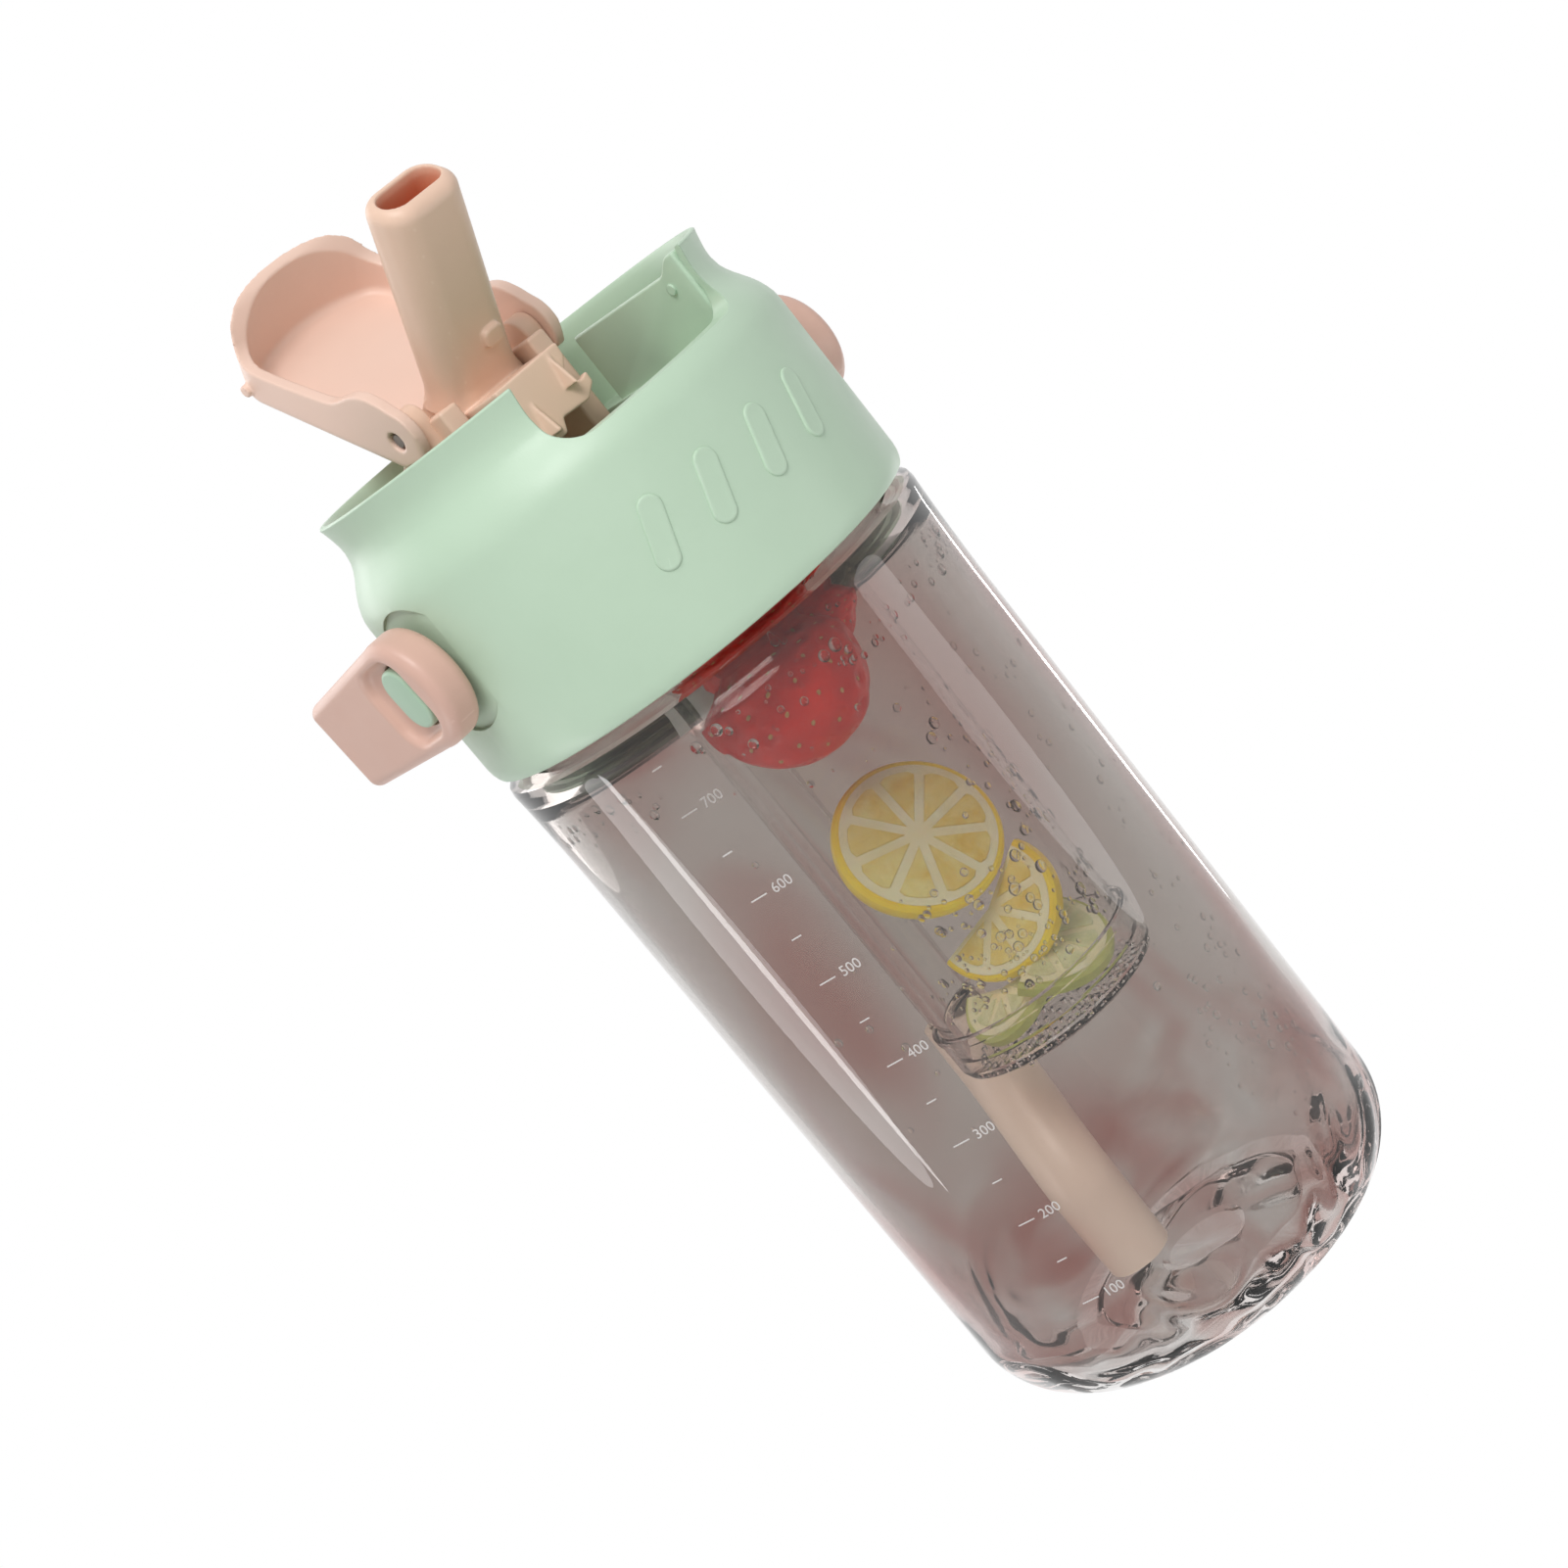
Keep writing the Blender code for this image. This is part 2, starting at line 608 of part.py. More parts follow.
def make_seals():
    seal_in, seal_out = NECK_BORE_R - GAP, LINER_BORE_R - GAP
    ring("lid_seal", seal_in, seal_out, SEAL_Z, SEAL_Z + SEAL_THICK, "silicone", steps=STEPS)
    top, bottom = DISC_TOP_Z + GAP, DISC_Z - GAP
    profile = [(0, top + VENT_CAP), (VENT_CAP_R, top + VENT_CAP * 0.4), (VENT_CAP_R, top), (VENT_STEM_R, top)]
    profile += [(VENT_STEM_R, bottom), (VENT_CAP_R, bottom)]
    profile += [(VENT_CAP_R, bottom - VENT_CAP), (0, bottom - VENT_CAP)]
    turned("vent_valve", profile, "silicone", (VENT_X, VENT_Y), 16)


def make_cover():
    """Built in the hinge's own frame: Y runs from the hinge to the lip, Z into the hollow."""
    frame = Matrix.Translation(HINGE) @ Matrix.Rotation(math.radians(COVER_OPEN), 4, "X")

    def plan(inset, back):
        half, front = COVER_HALF - inset, COVER_LENGTH - inset
        side_y = front - COVER_FRONT_BOW
        corner = COVER_CORNER - inset
        found = [(half, back), (half, side_y - corner)]
        found += arc((half - corner, side_y - corner), corner, 15, 75, 3)
        found += [(half * 0.32, front - 0.25 * MM), (0, front)]
        return found + mirrored(found[:-1])[::-1]

    far = 2 * COVER_LENGTH
    cover = prism("flip_cover", plan(0, -EAR_R - 1 * MM), "Z", -COVER_TOP, COVER_LIP + 4 * MM, "pink", frame)
    rounded(cover, 1.4 * MM, 3)
    hollow = prism("hollow_cutter", plan(COVER_WALL, -4 * EAR_R), "Z", COVER_WALL - COVER_TOP, far, None, frame)
    rounded(hollow, 1.0 * MM, 2)
    inner = COVER_HALF - COVER_WALL
    back = box("back_cutter", (-inner, -4 * EAR_R, -far), (inner, COVER_BACK, far), None, frame)
    edge = arc((0, 0), EAR_R, 195, 95, 6)
    edge += [(3.0 * MM, 6.9 * MM), (7.5 * MM, 6.9 * MM), (10.5 * MM, 5.9 * MM), (13.5 * MM, 3.9 * MM)]
    edge += [(16.0 * MM, 2.3 * MM), (19.0 * MM, 1.8 * MM)]
    edge += [(COVER_LENGTH - 19.0 * MM, 1.0 * MM), (COVER_LENGTH - 10.0 * MM, 0.2 * MM)]
    edge += [(COVER_LENGTH - 6.4 * MM, 1.6 * MM), (COVER_LENGTH - 4.4 * MM, 5.6 * MM)]
    edge += [(COVER_LENGTH - 3.2 * MM, COVER_LIP - 0.6 * MM), (COVER_LENGTH - 1.8 * MM, COVER_LIP)]
    edge += [(COVER_LENGTH + 9 * MM, COVER_LIP), (COVER_LENGTH + 9 * MM, -COVER_TOP - 9 * MM)]
    edge += [(COVER_BACK - 2 * MM, -COVER_TOP - 9 * MM), (COVER_BACK - 2 * MM, -COVER_TOP)]
    edge += [(1.0 * MM, -EAR_R - 0.2 * MM)]
    keep = prism("cover_side", edge, "X", -far, far, None, frame)
    cut(cover, hollow, back)
    combine(cover, keep, "INTERSECT")
    for hand, place in (("left", -1), ("right", 1)):
        far = frame @ Vector((place * 2 * COVER_HALF, 0, 0))
        near = frame @ Vector((place * (COVER_HALF - 2 * COVER_WALL), 0, 0))
        sink = frame @ Vector((place * (COVER_HALF - PIN_HEAD_SINK), 0, 0))
        cut(cover, rod("ear_bore_" + hand, near, far, PIN_R + PIN_CLEAR, facets=20))
        cut(cover, rod("ear_sink_" + hand, sink, far, PIN_R * 1.7, facets=20))
        nub_in = frame @ Vector((place * (COVER_HALF - COVER_WALL / 2), NUB_ALONG, -COVER_TOP / 2))
        nub_out = frame @ Vector((place * (COVER_HALF + NUB_OUT), NUB_ALONG, -COVER_TOP / 2))
        join(cover, rounded(rod("nub_" + hand, nub_in, nub_out, NUB_R, facets=12), 0.4 * MM))
    set_origin(cover, HINGE)
    return cover


def make_pins():
    for hand, place in (("left", -1), ("right", 1)):
        near = HINGE + Vector((place * PIN_REACH, 0, 0))
        far = HINGE + Vector((place * (COVER_HALF - PIN_HEAD_SINK), 0, 0))
        pin = rod("hinge_pin_" + hand, near, far, PIN_R, "steel", facets=20)
        set_origin(pin, HINGE)


def make_spout():
    """The tube is built in the pivot's own frame, where Z runs up the tube, and the apron in the bottle's."""
    frame = Matrix.Translation(PIVOT) @ Matrix.Rotation(math.radians(90 - SPOUT_RAISED), 4, "X")
    outline = rounded_box(SPOUT_W / 2, SPOUT_D / 2, SPOUT_CORNER, 5)
    spout = prism("spout", outline, "Z", 0, SPOUT_REACH, "pink", frame)
    rounded(spout, LIP_ROUND, 3)
    half = SPOUT_W / 2
    join(spout, rod("drum", PIVOT - Vector((half, 0, 0)), PIVOT + Vector((half, 0, 0)), DRUM_R, facets=32))
    reach = Vector((TRUNNION_REACH, 0, 0))
    join(spout, rod("trunnion", PIVOT - reach, PIVOT + reach, TRUNNION_R, facets=20))

    apron_back = APRON_Y + APRON_THICK
    wide = half - 0.1 * MM
    foot = APRON_BOTTOM_Z
    apron = [(-wide, foot), (-1.6 * MM, foot), (-0.4 * MM, foot + 2.4 * MM), (5.8 * MM, foot + 1.9 * MM)]
    apron += [(8.6 * MM, foot + 3.8 * MM), (8.7 * MM, foot + 6.0 * MM), (6.9 * MM, foot + 10.2 * MM)]
    apron += [(wide - 0.6 * MM, APRON_TOP_Z), (-wide, APRON_TOP_Z)]
    join(spout, prism("apron", apron, "Y", APRON_Y, apron_back))
    shelf_low = (-wide + 0.1 * MM, apron_back - 0.5 * MM, APRON_TOP_Z - SHELF_THICK)
    join(spout, box("shelf", shelf_low, (wide - 0.7 * MM, PIVOT_Y - 4 * MM, APRON_TOP_Z - 0.1 * MM)))
    for i, x in enumerate((-3.6 * MM, 4.6 * MM)):
        rib_top = APRON_TOP_Z - (5.5 if i == 0 else 0.6) * MM
        rib = [(APRON_Y + 0.5 * MM, rib_top), (APRON_Y + 0.5 * MM, rib_top - 6.5 * MM)]
        rib += [(APRON_Y - GUSSET_OUT, rib_top - 6.5 * MM)]
        join(spout, prism(f"gusset_{i}", rib, "X", x - 1.0 * MM, x + 1.0 * MM))
    notch = [(5.4 * MM, foot + 9.0 * MM), (7.4 * MM, foot + 5.9 * MM), (4.6 * MM, foot + 5.7 * MM)]
    cut(spout, prism("hook_notch", notch, "Y", APRON_Y - 5 * MM, apron_back + 0.3 * MM))

    nub_low = (SPOUT_NUB_X - 1.9 * MM, -SPOUT_D / 2 - SPOUT_NUB_OUT, SPOUT_NUB_UP - 1.7 * MM)
    nub_high = (SPOUT_NUB_X + 1.9 * MM, -SPOUT_D / 2 + 1.5 * MM, SPOUT_NUB_UP + 1.7 * MM)
    join(spout, rounded(box("spout_nub", nub_low, nub_high, None, frame), 0.9 * MM, 2))

    mouth = rounded_box(MOUTH_W / 2, MOUTH_D / 2, MOUTH_D / 2 - 0.2 * MM, 5)
    low = SPOUT_REACH - MOUTH_DEPTH
    cut(spout, prism("mouth_cutter", mouth, "Z", low, SPOUT_REACH + 10 * MM, None, frame))
    bore_low = frame @ Vector((0, 0, -2 * DRUM_R))
    bore_high = frame @ Vector((0, 0, low + 2 * MM))
    cut(spout, rod("bore_cutter", bore_low, bore_high, BORE_R - 0.1 * MM, facets=20))
    set_origin(spout, PIVOT)
    return spout


def make_carrier():
    cheek = [(CHEEK_FRONT, CARRIER_Z), (CHEEK_BACK, CARRIER_Z), (CHEEK_BACK, BLOCK_TOP_Z - 3.5 * MM)]
    cheek += [(CHEEK_BACK - 3.0 * MM, BLOCK_TOP_Z)]
    cheek += arc((HINGE_Y, HINGE_Z), CHEEK_TOP_R, -25, 190, 12)
    cheek += [(CHEEK_FRONT, HINGE_Z - 6.0 * MM)]
    carrier = prism("spout_carrier", cheek, "X", -CHEEK_OUT, -CHEEK_IN, "pink")
    join(carrier, prism("cheek_right", cheek, "X", CHEEK_IN, CHEEK_OUT))
    block = [(BLOCK_FRONT, CARRIER_Z), (CHEEK_BACK - 0.4 * MM, CARRIER_Z)]
    block += [(CHEEK_BACK - 0.4 * MM, BLOCK_TOP_Z - 3.9 * MM), (CHEEK_BACK - 3.2 * MM, BLOCK_TOP_Z - 0.4 * MM)]
    block += [(BLOCK_FRONT, BLOCK_TOP_Z - 0.4 * MM)]
    join(carrier, prism("carrier_block", block, "X", -CHEEK_IN - 1 * MM, CHEEK_IN + 1 * MM))
    stem_top = (0, STEM_Y, CARRIER_Z + 2 * MM)
    join(carrier, rod("stem", (0, STEM_Y, STEM_END_Z), stem_top, STEM_R, facets=32))
    seat = Vector((CHEEK_IN - 0.2 * MM, 0, 0))
    cut(carrier, rod("seat_cutter", PIVOT - seat, PIVOT + seat, DRUM_R + SEAT_CLEAR, facets=32))
    trunnion = Vector((TRUNNION_REACH + TRUNNION_CLEAR, 0, 0))
    trunnion_bore_r = TRUNNION_R + TRUNNION_CLEAR
    cut(carrier, rod("trunnion_bore", PIVOT - trunnion, PIVOT + trunnion, trunnion_bore_r, facets=20))
    bore_low, bore_high = (0, STEM_Y, STEM_END_Z - 5 * MM), (0, STEM_Y, BLOCK_TOP_Z - 2.6 * MM)
    cut(carrier, rod("stem_bore", bore_low, bore_high, STEM_BORE_R, facets=20))
    down = port_direction()
    cut(carrier, rod("port_cutter", PIVOT, PIVOT + down * 9 * MM, BORE_R, facets=20))
    pocket = DRUM_R + SEAT_CLEAR + PORT_SEAL_THICK + 2 * PORT_SEAL_CLEAR
    pocket_r = PORT_SEAL_R + GAP
    cut(carrier, rod("seal_pocket", PIVOT, PIVOT + down * pocket, pocket_r, facets=24))
    for place in (-1, 1):
        near = HINGE + Vector((place * (PIN_REACH - GAP), 0, 0))
        far = HINGE + Vector((place * (CHEEK_OUT + 5 * MM), 0, 0))
        cut(carrier, rod(f"pin_bore_{place}", near, far, PIN_R + PIN_CLEAR, facets=20))
    return carrier


def port_direction():
    """From the pivot to the carrier's port, in line with the raised tube."""
    angle = math.radians(SPOUT_RAISED)
    return Vector((0, math.cos(angle), -math.sin(angle)))


def make_spout_seal():
    down = port_direction()
    near = DRUM_R + SEAT_CLEAR + PORT_SEAL_CLEAR
    far = near + PORT_SEAL_THICK
    seal = rod("spout_seal", PIVOT + down * near, PIVOT + down * far, PORT_SEAL_R, "silicone", 24)
    cut(seal, rod("seal_bore", PIVOT, PIVOT + down * 2 * far, BORE_R, facets=20))


def tube(name, points, radius, finish=None):
    """A curve through the points made into a closed mesh."""
    curve = bpy.data.curves.new(name, "CURVE")
    curve.dimensions = "3D"
    curve.bevel_depth = radius
    curve.bevel_resolution = 6
    curve.use_fill_caps = True
    line = curve.splines.new("POLY")
    line.points.add(len(points) - 1)
    for place, point in zip(line.points, points):
        place.co = (*point, 1)
    guide = bpy.data.objects.new(name + "_curve", curve)
    CUTTERS.objects.link(guide)
    bpy.context.view_layer.update()
    graph = bpy.context.evaluated_depsgraph_get()
    mesh = bpy.data.meshes.new_from_object(guide.evaluated_get(graph))
    bpy.data.objects.remove(guide, do_unlink=True)
    bm = bmesh.new()
    bm.from_mesh(mesh)
    bmesh.ops.remove_doubles(bm, verts=bm.verts, dist=0.00001)
    bpy.data.meshes.remove(mesh)
    mesh = mesh_of(name, bm)
    mesh.materials.clear()
    return add_object(name, mesh, finish)


def straw_points(overrun):
    """Straight down over the riser's end, across under the strainer, then straight down to the foot."""
    top = Vector((0, STEM_Y, STRAW_TOP_Z))
    found = [top + Vector((0, 0, overrun))]
    count = 9
    for i in range(count + 1):
        share = i / count
        ease = share * share * (3 - 2 * share)
        x, y = STRAW_END.x * ease, STEM_Y + (STRAW_END.y - STEM_Y) * ease
        found.append(Vector((x, y, STRAW_BEND_TOP + (STRAW_BEND_END - STRAW_BEND_TOP) * share)))
    found.append(STRAW_END - Vector((0, 0, overrun)))
    return found


def make_tubes():
    ring("riser_tube", RISER_BORE_R, RISER_R, RISER_BOTTOM_Z, RISER_TOP_Z, "clear", (0, STEM_Y))
    inner, top = STEM_R + GAP, DISC_Z - 2 * GAP
    outer = inner + CONNECTOR_WALL
    ring("riser_connector", inner, outer, CONNECTOR_BOTTOM_Z, top, "silicone", (0, STEM_Y))
    straw = tube("straw", straw_points(0), STRAW_R, "pink")
    cut(straw, tube("straw_bore", straw_points(4 * MM), STRAW_BORE_R))


def make_infuser():
    centre = (0, INFUSER_Y)
    inner = INFUSER_R - INFUSER_WALL
    top = DISC_Z - GAP
    ring("infuser_cup", inner, INFUSER_R, INFUSER_BOTTOM_Z, top, "clear", centre, 40)

    grip = INFUSER_R + GAP
    outer = grip + STRAINER_WALL
    floor_top = STRAINER_FLOOR_Z + STRAINER_FLOOR
    lip = STRAINER_FLOOR_Z + STRAINER_RISE
    chamfer = 1.5 * MM
    profile = [(0, floor_top), (grip, floor_top), (grip, lip), (outer, lip)]
    profile += [(outer, STRAINER_FLOOR_Z + chamfer), (outer - chamfer, STRAINER_FLOOR_Z), (0, STRAINER_FLOOR_Z)]
    strainer = turned("infuser_strainer", profile, "clear", centre, 40)
    cut(strainer, strainer_holes(floor_top))


def strainer_holes(floor_top):
    """All the holes of the strainer's floor, as one cutter."""
    bm = bmesh.new()
    depth = 3 * STRAINER_FLOOR
    for radius, count in zip(HOLE_RING_RADII, HOLE_RING_COUNTS):
        for i in range(count):
            angle = math.tau * (i + 0.37) / count
            x, y = radius * math.cos(angle), INFUSER_Y + radius * math.sin(angle)
            place = Matrix.Translation((x, y, floor_top - STRAINER_FLOOR / 2))
            bmesh.ops.create_cone(
                bm, cap_ends=True, segments=6, radius1=HOLE_R, radius2=HOLE_R, depth=depth, matrix=place
            )
    return add_object("strainer_holes", mesh_of("strainer_holes", bm))


def stadium(half_z, front, back, radius_z):
    """A rounded outline in (y, z), longer towards the back."""
    found = []
    for centre_y, start in ((back - radius_z, -90), (-front + radius_z, 90)):
        for top in (0, 1):
            centre_z = (half_z - radius_z) * (1 if (top == 1) == (start < 0) else -1)
            found += arc((centre_y, centre_z), radius_z, start + 90 * top, start + 90 * top + 90, 4)
    return found


def make_strap_ends():
    for hand, place in (("left", -1), ("right", 1)):
        stud = Vector((0, 0, STRAP_Z))
        frame = Matrix.Translation(stud) @ Matrix.Rotation(math.radians(-STRAP_DROOP), 4, "X")
        far_x = 2 * STRAP_OUT

        def slab(name, outline, near, far, finish=None, frame=frame, place=place, hand=hand):
            """An outline in the strap end's own (y, z), between two distances from the middle."""
            ends = sorted((place * near, place * far))
            return prism(f"{name}_{hand}", outline, "X", *ends, finish, frame)

        def disc(name, near, far, radius, stud=stud, place=place, hand=hand):
            """A cylinder round the stud's axis, between two distances from the middle."""
            start, end = Vector((place * near, 0, 0)), Vector((place * far, 0, 0))
            return rod(f"{name}_{hand}", stud + start, stud + end, radius, facets=28)

        tip, corner = STRAP_TIP_Y, STRAP_TIP_CORNER
        outline = arc((0, 0), STRAP_R, 80, 280, 12)
        outline += arc((tip - corner, corner - STRAP_TIP_HALF), corner, -90, 0, 2)
        outline += arc((tip - corner, STRAP_TIP_HALF - corner), corner, 0, 90, 2)
        end = slab("strap_end", outline, STRAP_IN, STRAP_OUT, "pink")
        rounded(end, STRAP_ROUND, 3)

        cut(end, slab("dish", stadium(DISH_HALF_Z, DISH_FRONT, DISH_BACK, DISH_CORNER), DISH_FLOOR_X, far_x))
        cavity_in = STUD_HEAD_X - GAP
        cavity_out = DISH_FLOOR_X - DISH_WALL
        cut(end, disc("cavity", cavity_in, cavity_out, BUTTON_FLANGE_R + GAP))
        hole_y, hole_z = BUTTON_HALF_Y + GAP, BUTTON_HALF_Z + GAP
        hole = rounded_box(hole_y, hole_z, hole_y - BUTTON_FLAT)
        cut(end, slab("button_hole", hole, cavity_out - GAP, far_x))
        cut(end, disc("stud_bore", STRAP_IN - STRAP_THICK, cavity_in + GAP, STUD_R + GAP))
        middle = (STRAP_IN + STRAP_OUT) / 2
        slot_front, slot_back = tip - STRAP_SLOT_DEPTH, tip + STRAP_SLOT_DEPTH
        slot = [(slot_front, -STRAP_SLOT_HALF), (slot_back, -STRAP_SLOT_HALF)]
        slot += [(slot_back, STRAP_SLOT_HALF), (slot_front, STRAP_SLOT_HALF)]
        cut(end, slab("strap_slot", slot, middle - STRAP_SLOT / 2, middle + STRAP_SLOT / 2))
        set_origin(end, stud + Vector((place * STRAP_IN, 0, 0)))

        face = rounded_box(BUTTON_HALF_Y, BUTTON_HALF_Z, BUTTON_HALF_Y - BUTTON_FLAT)
        flange_out = cavity_out - GAP
        button = slab("strap_button", face, flange_out - BUTTON_FLANGE / 2, BUTTON_OUT_X, "mint")
        rounded(button, BUTTON_ROUND, 2)
        join(button, disc("button_flange", flange_out - BUTTON_FLANGE, flange_out, BUTTON_FLANGE_R))
        set_origin(button, stud + Vector((place * flange_out, 0, 0)))


make_body()
make_lid_shell()
make_liner()
make_seals()
make_cover()
make_pins()
make_spout()
make_carrier()
make_spout_seal()
make_tubes()
make_infuser()
make_strap_ends()
for part in PARTS.objects:
    smooth(part)
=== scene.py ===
"""The looks of the tea infuser bottle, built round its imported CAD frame.

Lengths are in metres, in the CAD's own frame: +Z up the bottle, -Y its front.
"""

import json
import random
from math import acos, atan2, cos, degrees, pi, radians, sin, sqrt, tau

import bmesh
import bpy
from mathutils import Matrix, Vector


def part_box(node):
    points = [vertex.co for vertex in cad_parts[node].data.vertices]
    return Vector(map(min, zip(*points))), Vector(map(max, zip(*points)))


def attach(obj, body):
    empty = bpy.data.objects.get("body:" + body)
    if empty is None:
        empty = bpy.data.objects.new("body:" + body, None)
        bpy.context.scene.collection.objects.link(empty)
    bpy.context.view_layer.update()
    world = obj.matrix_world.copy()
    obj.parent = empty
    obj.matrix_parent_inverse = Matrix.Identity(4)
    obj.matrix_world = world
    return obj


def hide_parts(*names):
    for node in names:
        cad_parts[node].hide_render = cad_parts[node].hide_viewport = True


MM = 0.001

# The photograph's camera
PHOTO_PIXELS = 1601
FOCAL_PIXELS = 2868
CAMERA_AZIMUTH = -30.0
CAMERA_DISTANCE = 485.8 * MM
CAMERA_HEIGHT = 225.1 * MM
CAMERA_PITCH = 12.12
CAMERA_YAW = -0.80
CAMERA_ROLL = -39.10
SENSOR = 36.0

# Surroundings and finish
STRIP_HEIGHT = 130.0 * MM
STRIP_MIDDLE = 66.0 * MM
WORLD_LIGHT = 0.38
FLOOR_HALF = 6.0
WHITE = (1, 1, 1, 1)
GRAIN = 0.012 * MM

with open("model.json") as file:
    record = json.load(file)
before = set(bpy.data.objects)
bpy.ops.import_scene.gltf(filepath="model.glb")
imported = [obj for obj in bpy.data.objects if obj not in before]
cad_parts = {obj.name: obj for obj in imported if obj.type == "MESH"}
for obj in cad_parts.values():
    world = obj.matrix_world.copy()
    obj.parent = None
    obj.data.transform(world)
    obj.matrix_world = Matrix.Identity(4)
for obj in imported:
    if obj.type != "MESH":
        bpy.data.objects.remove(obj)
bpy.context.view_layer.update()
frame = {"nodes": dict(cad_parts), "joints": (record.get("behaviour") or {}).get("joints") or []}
JOINTS = {joint["name"]: joint for joint in frame["joints"]}
HINGE = Vector(JOINTS["cover_hinge"]["pos_m"])
PIVOT = Vector(JOINTS["spout_fold"]["pos_m"])

# Bottle
BODY_R = 44.0 * MM
BODY_WALL = 2.3 * MM
BODY_FLARE = 0.6 * MM
FLARE_LENGTH = 24.0 * MM
BASE_FILLET = 15.0 * MM
FLOOR_Z = 5.6 * MM
FLOOR_FILLET = 11.0 * MM
FOOT_INNER_R = 22.0 * MM
FOOT_PAD_R = 8.0 * MM
PUSH_UP = 1.6 * MM
SHOULDER_Z = 152.0 * MM
NECK_R = 39.3 * MM
NECK_WALL = 2.5 * MM
NECK_TOP_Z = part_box("bottle_body")[1].z
INNER_R = BODY_R - BODY_WALL
THREAD_PITCH = 4.0 * MM
THREAD_TURNS = 1.6
THREAD_HEIGHT = 1.3 * MM
THREAD_Z = SHOULDER_Z + 5.5 * MM

# Lid
LID_R = 45.2 * MM
LID_WALL = 2.2 * MM
LID_BOTTOM_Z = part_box("lid_shell")[0].z
LID_SHOULDER_Z = 188.5 * MM
DECK_Z = 190.0 * MM
DECK_THICK = 2.0 * MM
RIM_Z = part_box("lid_shell")[1].z
RIM_R = 41.0 * MM
WAIST_R = 40.1 * MM
WAIST_Z = 201.0 * MM
RIM_WALL = 1.5 * MM
NOTCH_HALF = 20.9 * MM
NOTCH_Z = 193.2 * MM
NOTCH_FILLET = 4.5 * MM
CHANNEL_HALF = 20.3 * MM
CHANNEL_WALL = 1.8 * MM
CHANNEL_TOP_Z = 203.6 * MM
CHANNEL_BACK_Y = 8.0 * MM
CHANNEL_RISE_Y = -25.0 * MM
DECK_CUT_HALF = 18.5 * MM
DECK_CUT_FRONT = -14.0 * MM
DECK_CUT_BACK = 25.0 * MM
OVAL_ANGLES = (-25.5, -10.4, 5.4, 21.0)
OVAL_Z = 174.5 * MM
OVAL_LENGTH = 12.8 * MM
OVAL_WIDTH = 4.5 * MM
OVAL_LEAN = 19.0
# how far in from the pad's outline, and how far out from the barrel, in mm
OVAL_STEPS = ((0.0, -0.2), (0.05, 0.1), (0.18, 0.3), (0.4, 0.38), (0.75, 0.34), (1.4, 0.32), (2.15, 0.32))
SPOTFACE_R = 12.4 * MM
SPOTFACE_X = LID_R - 0.8 * MM
STUD_R = 3.2 * MM
STUD_HEAD_R = 5.0 * MM
STUD_HEAD = 1.0 * MM

# Flip cover, in the hinge's own frame: Y from the hinge to the lip, Z into the hollow
COVER_OPEN = 41.3
COVER_HALF = 18.6 * MM
COVER_LENGTH = 47.0 * MM
COVER_WALL = 2.3 * MM
COVER_TOP = 7.0 * MM
COVER_LIP = 9.0 * MM
COVER_CORNER = 8.5 * MM
COVER_EDGE = 2.4 * MM
COVER_BOW_R = 30.0 * MM
COVER_BACK = 6.0 * MM
EAR_R = 6.2 * MM
PIN_R = 1.25 * MM
NUB_ALONG = COVER_LENGTH - 8.5 * MM

# Spout and the block that carries it
SPOUT_RAISED = 52.6
SPOUT_REACH = 43.8 * MM
SPOUT_W = 16.5 * MM
SPOUT_D = 11.5 * MM
SPOUT_CORNER = 4.9 * MM
SPOUT_LIP = 2.6 * MM
MOUTH_W = 12.4 * MM
MOUTH_D = 6.0 * MM
MOUTH_DEPTH = 30.0 * MM
BORE_R = 3.1 * MM
DRUM_R = SPOUT_D / 2
TRUNNION_R = 2.4 * MM
TRUNNION_REACH = 12.0 * MM
APRON_Y = -8.0 * MM
APRON_THICK = 2.0 * MM
APRON_FOOT_Z = PIVOT.z - 13.0 * MM
CHEEK_IN = 9.2 * MM
CHEEK_OUT = 16.2 * MM
CHEEK_FRONT = 6.6 * MM
LUG_IN = 12.4 * MM
LEDGE_FRONT = 2.0 * MM
CHEEK_BACK = 24.4 * MM
CHEEK_TOP_R = 4.0 * MM
BLOCK_FRONT = 14.8 * MM
BLOCK_TOP_Z = PIVOT.z - 1.8 * MM
CARRIER_Z = 175.4 * MM
STEM_R = 5.0 * MM
STEM_BORE_R = 3.3 * MM
STEM_Y = 18.7 * MM
STEM_END_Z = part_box("spout_carrier")[0].z
POCKET_R = 4.9 * MM
POCKET_END = 8.25 * MM

# Straw and infuser
STRAW_R = 6.7 * MM
STRAW_BORE_R = 5.2 * MM
STRAW_TOP_Z = 66.0 * MM
STRAW_BEND_TOP = 56.0 * MM
STRAW_BEND_END = 26.0 * MM
STRAW_END = Vector((-8.0 * MM, 7.0 * MM, 9.0 * MM))
INFUSER_Y = -13.0 * MM
INFUSER_R = 19.3 * MM
INFUSER_WALL = 1.5 * MM
INFUSER_LOW, INFUSER_HIGH = (corner.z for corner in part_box("infuser_cup"))
STRAINER_LOW, STRAINER_HIGH = (corner.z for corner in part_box("infuser_strainer"))
STRAINER_WALL = 1.3 * MM
STRAINER_FLOOR = 1.6 * MM
HOLE_R = 0.6 * MM
HOLE_PITCH = 2.7 * MM
HOLE_RINGS = 6
GAP = 0.3 * MM
BERRY_SEEDS = 110

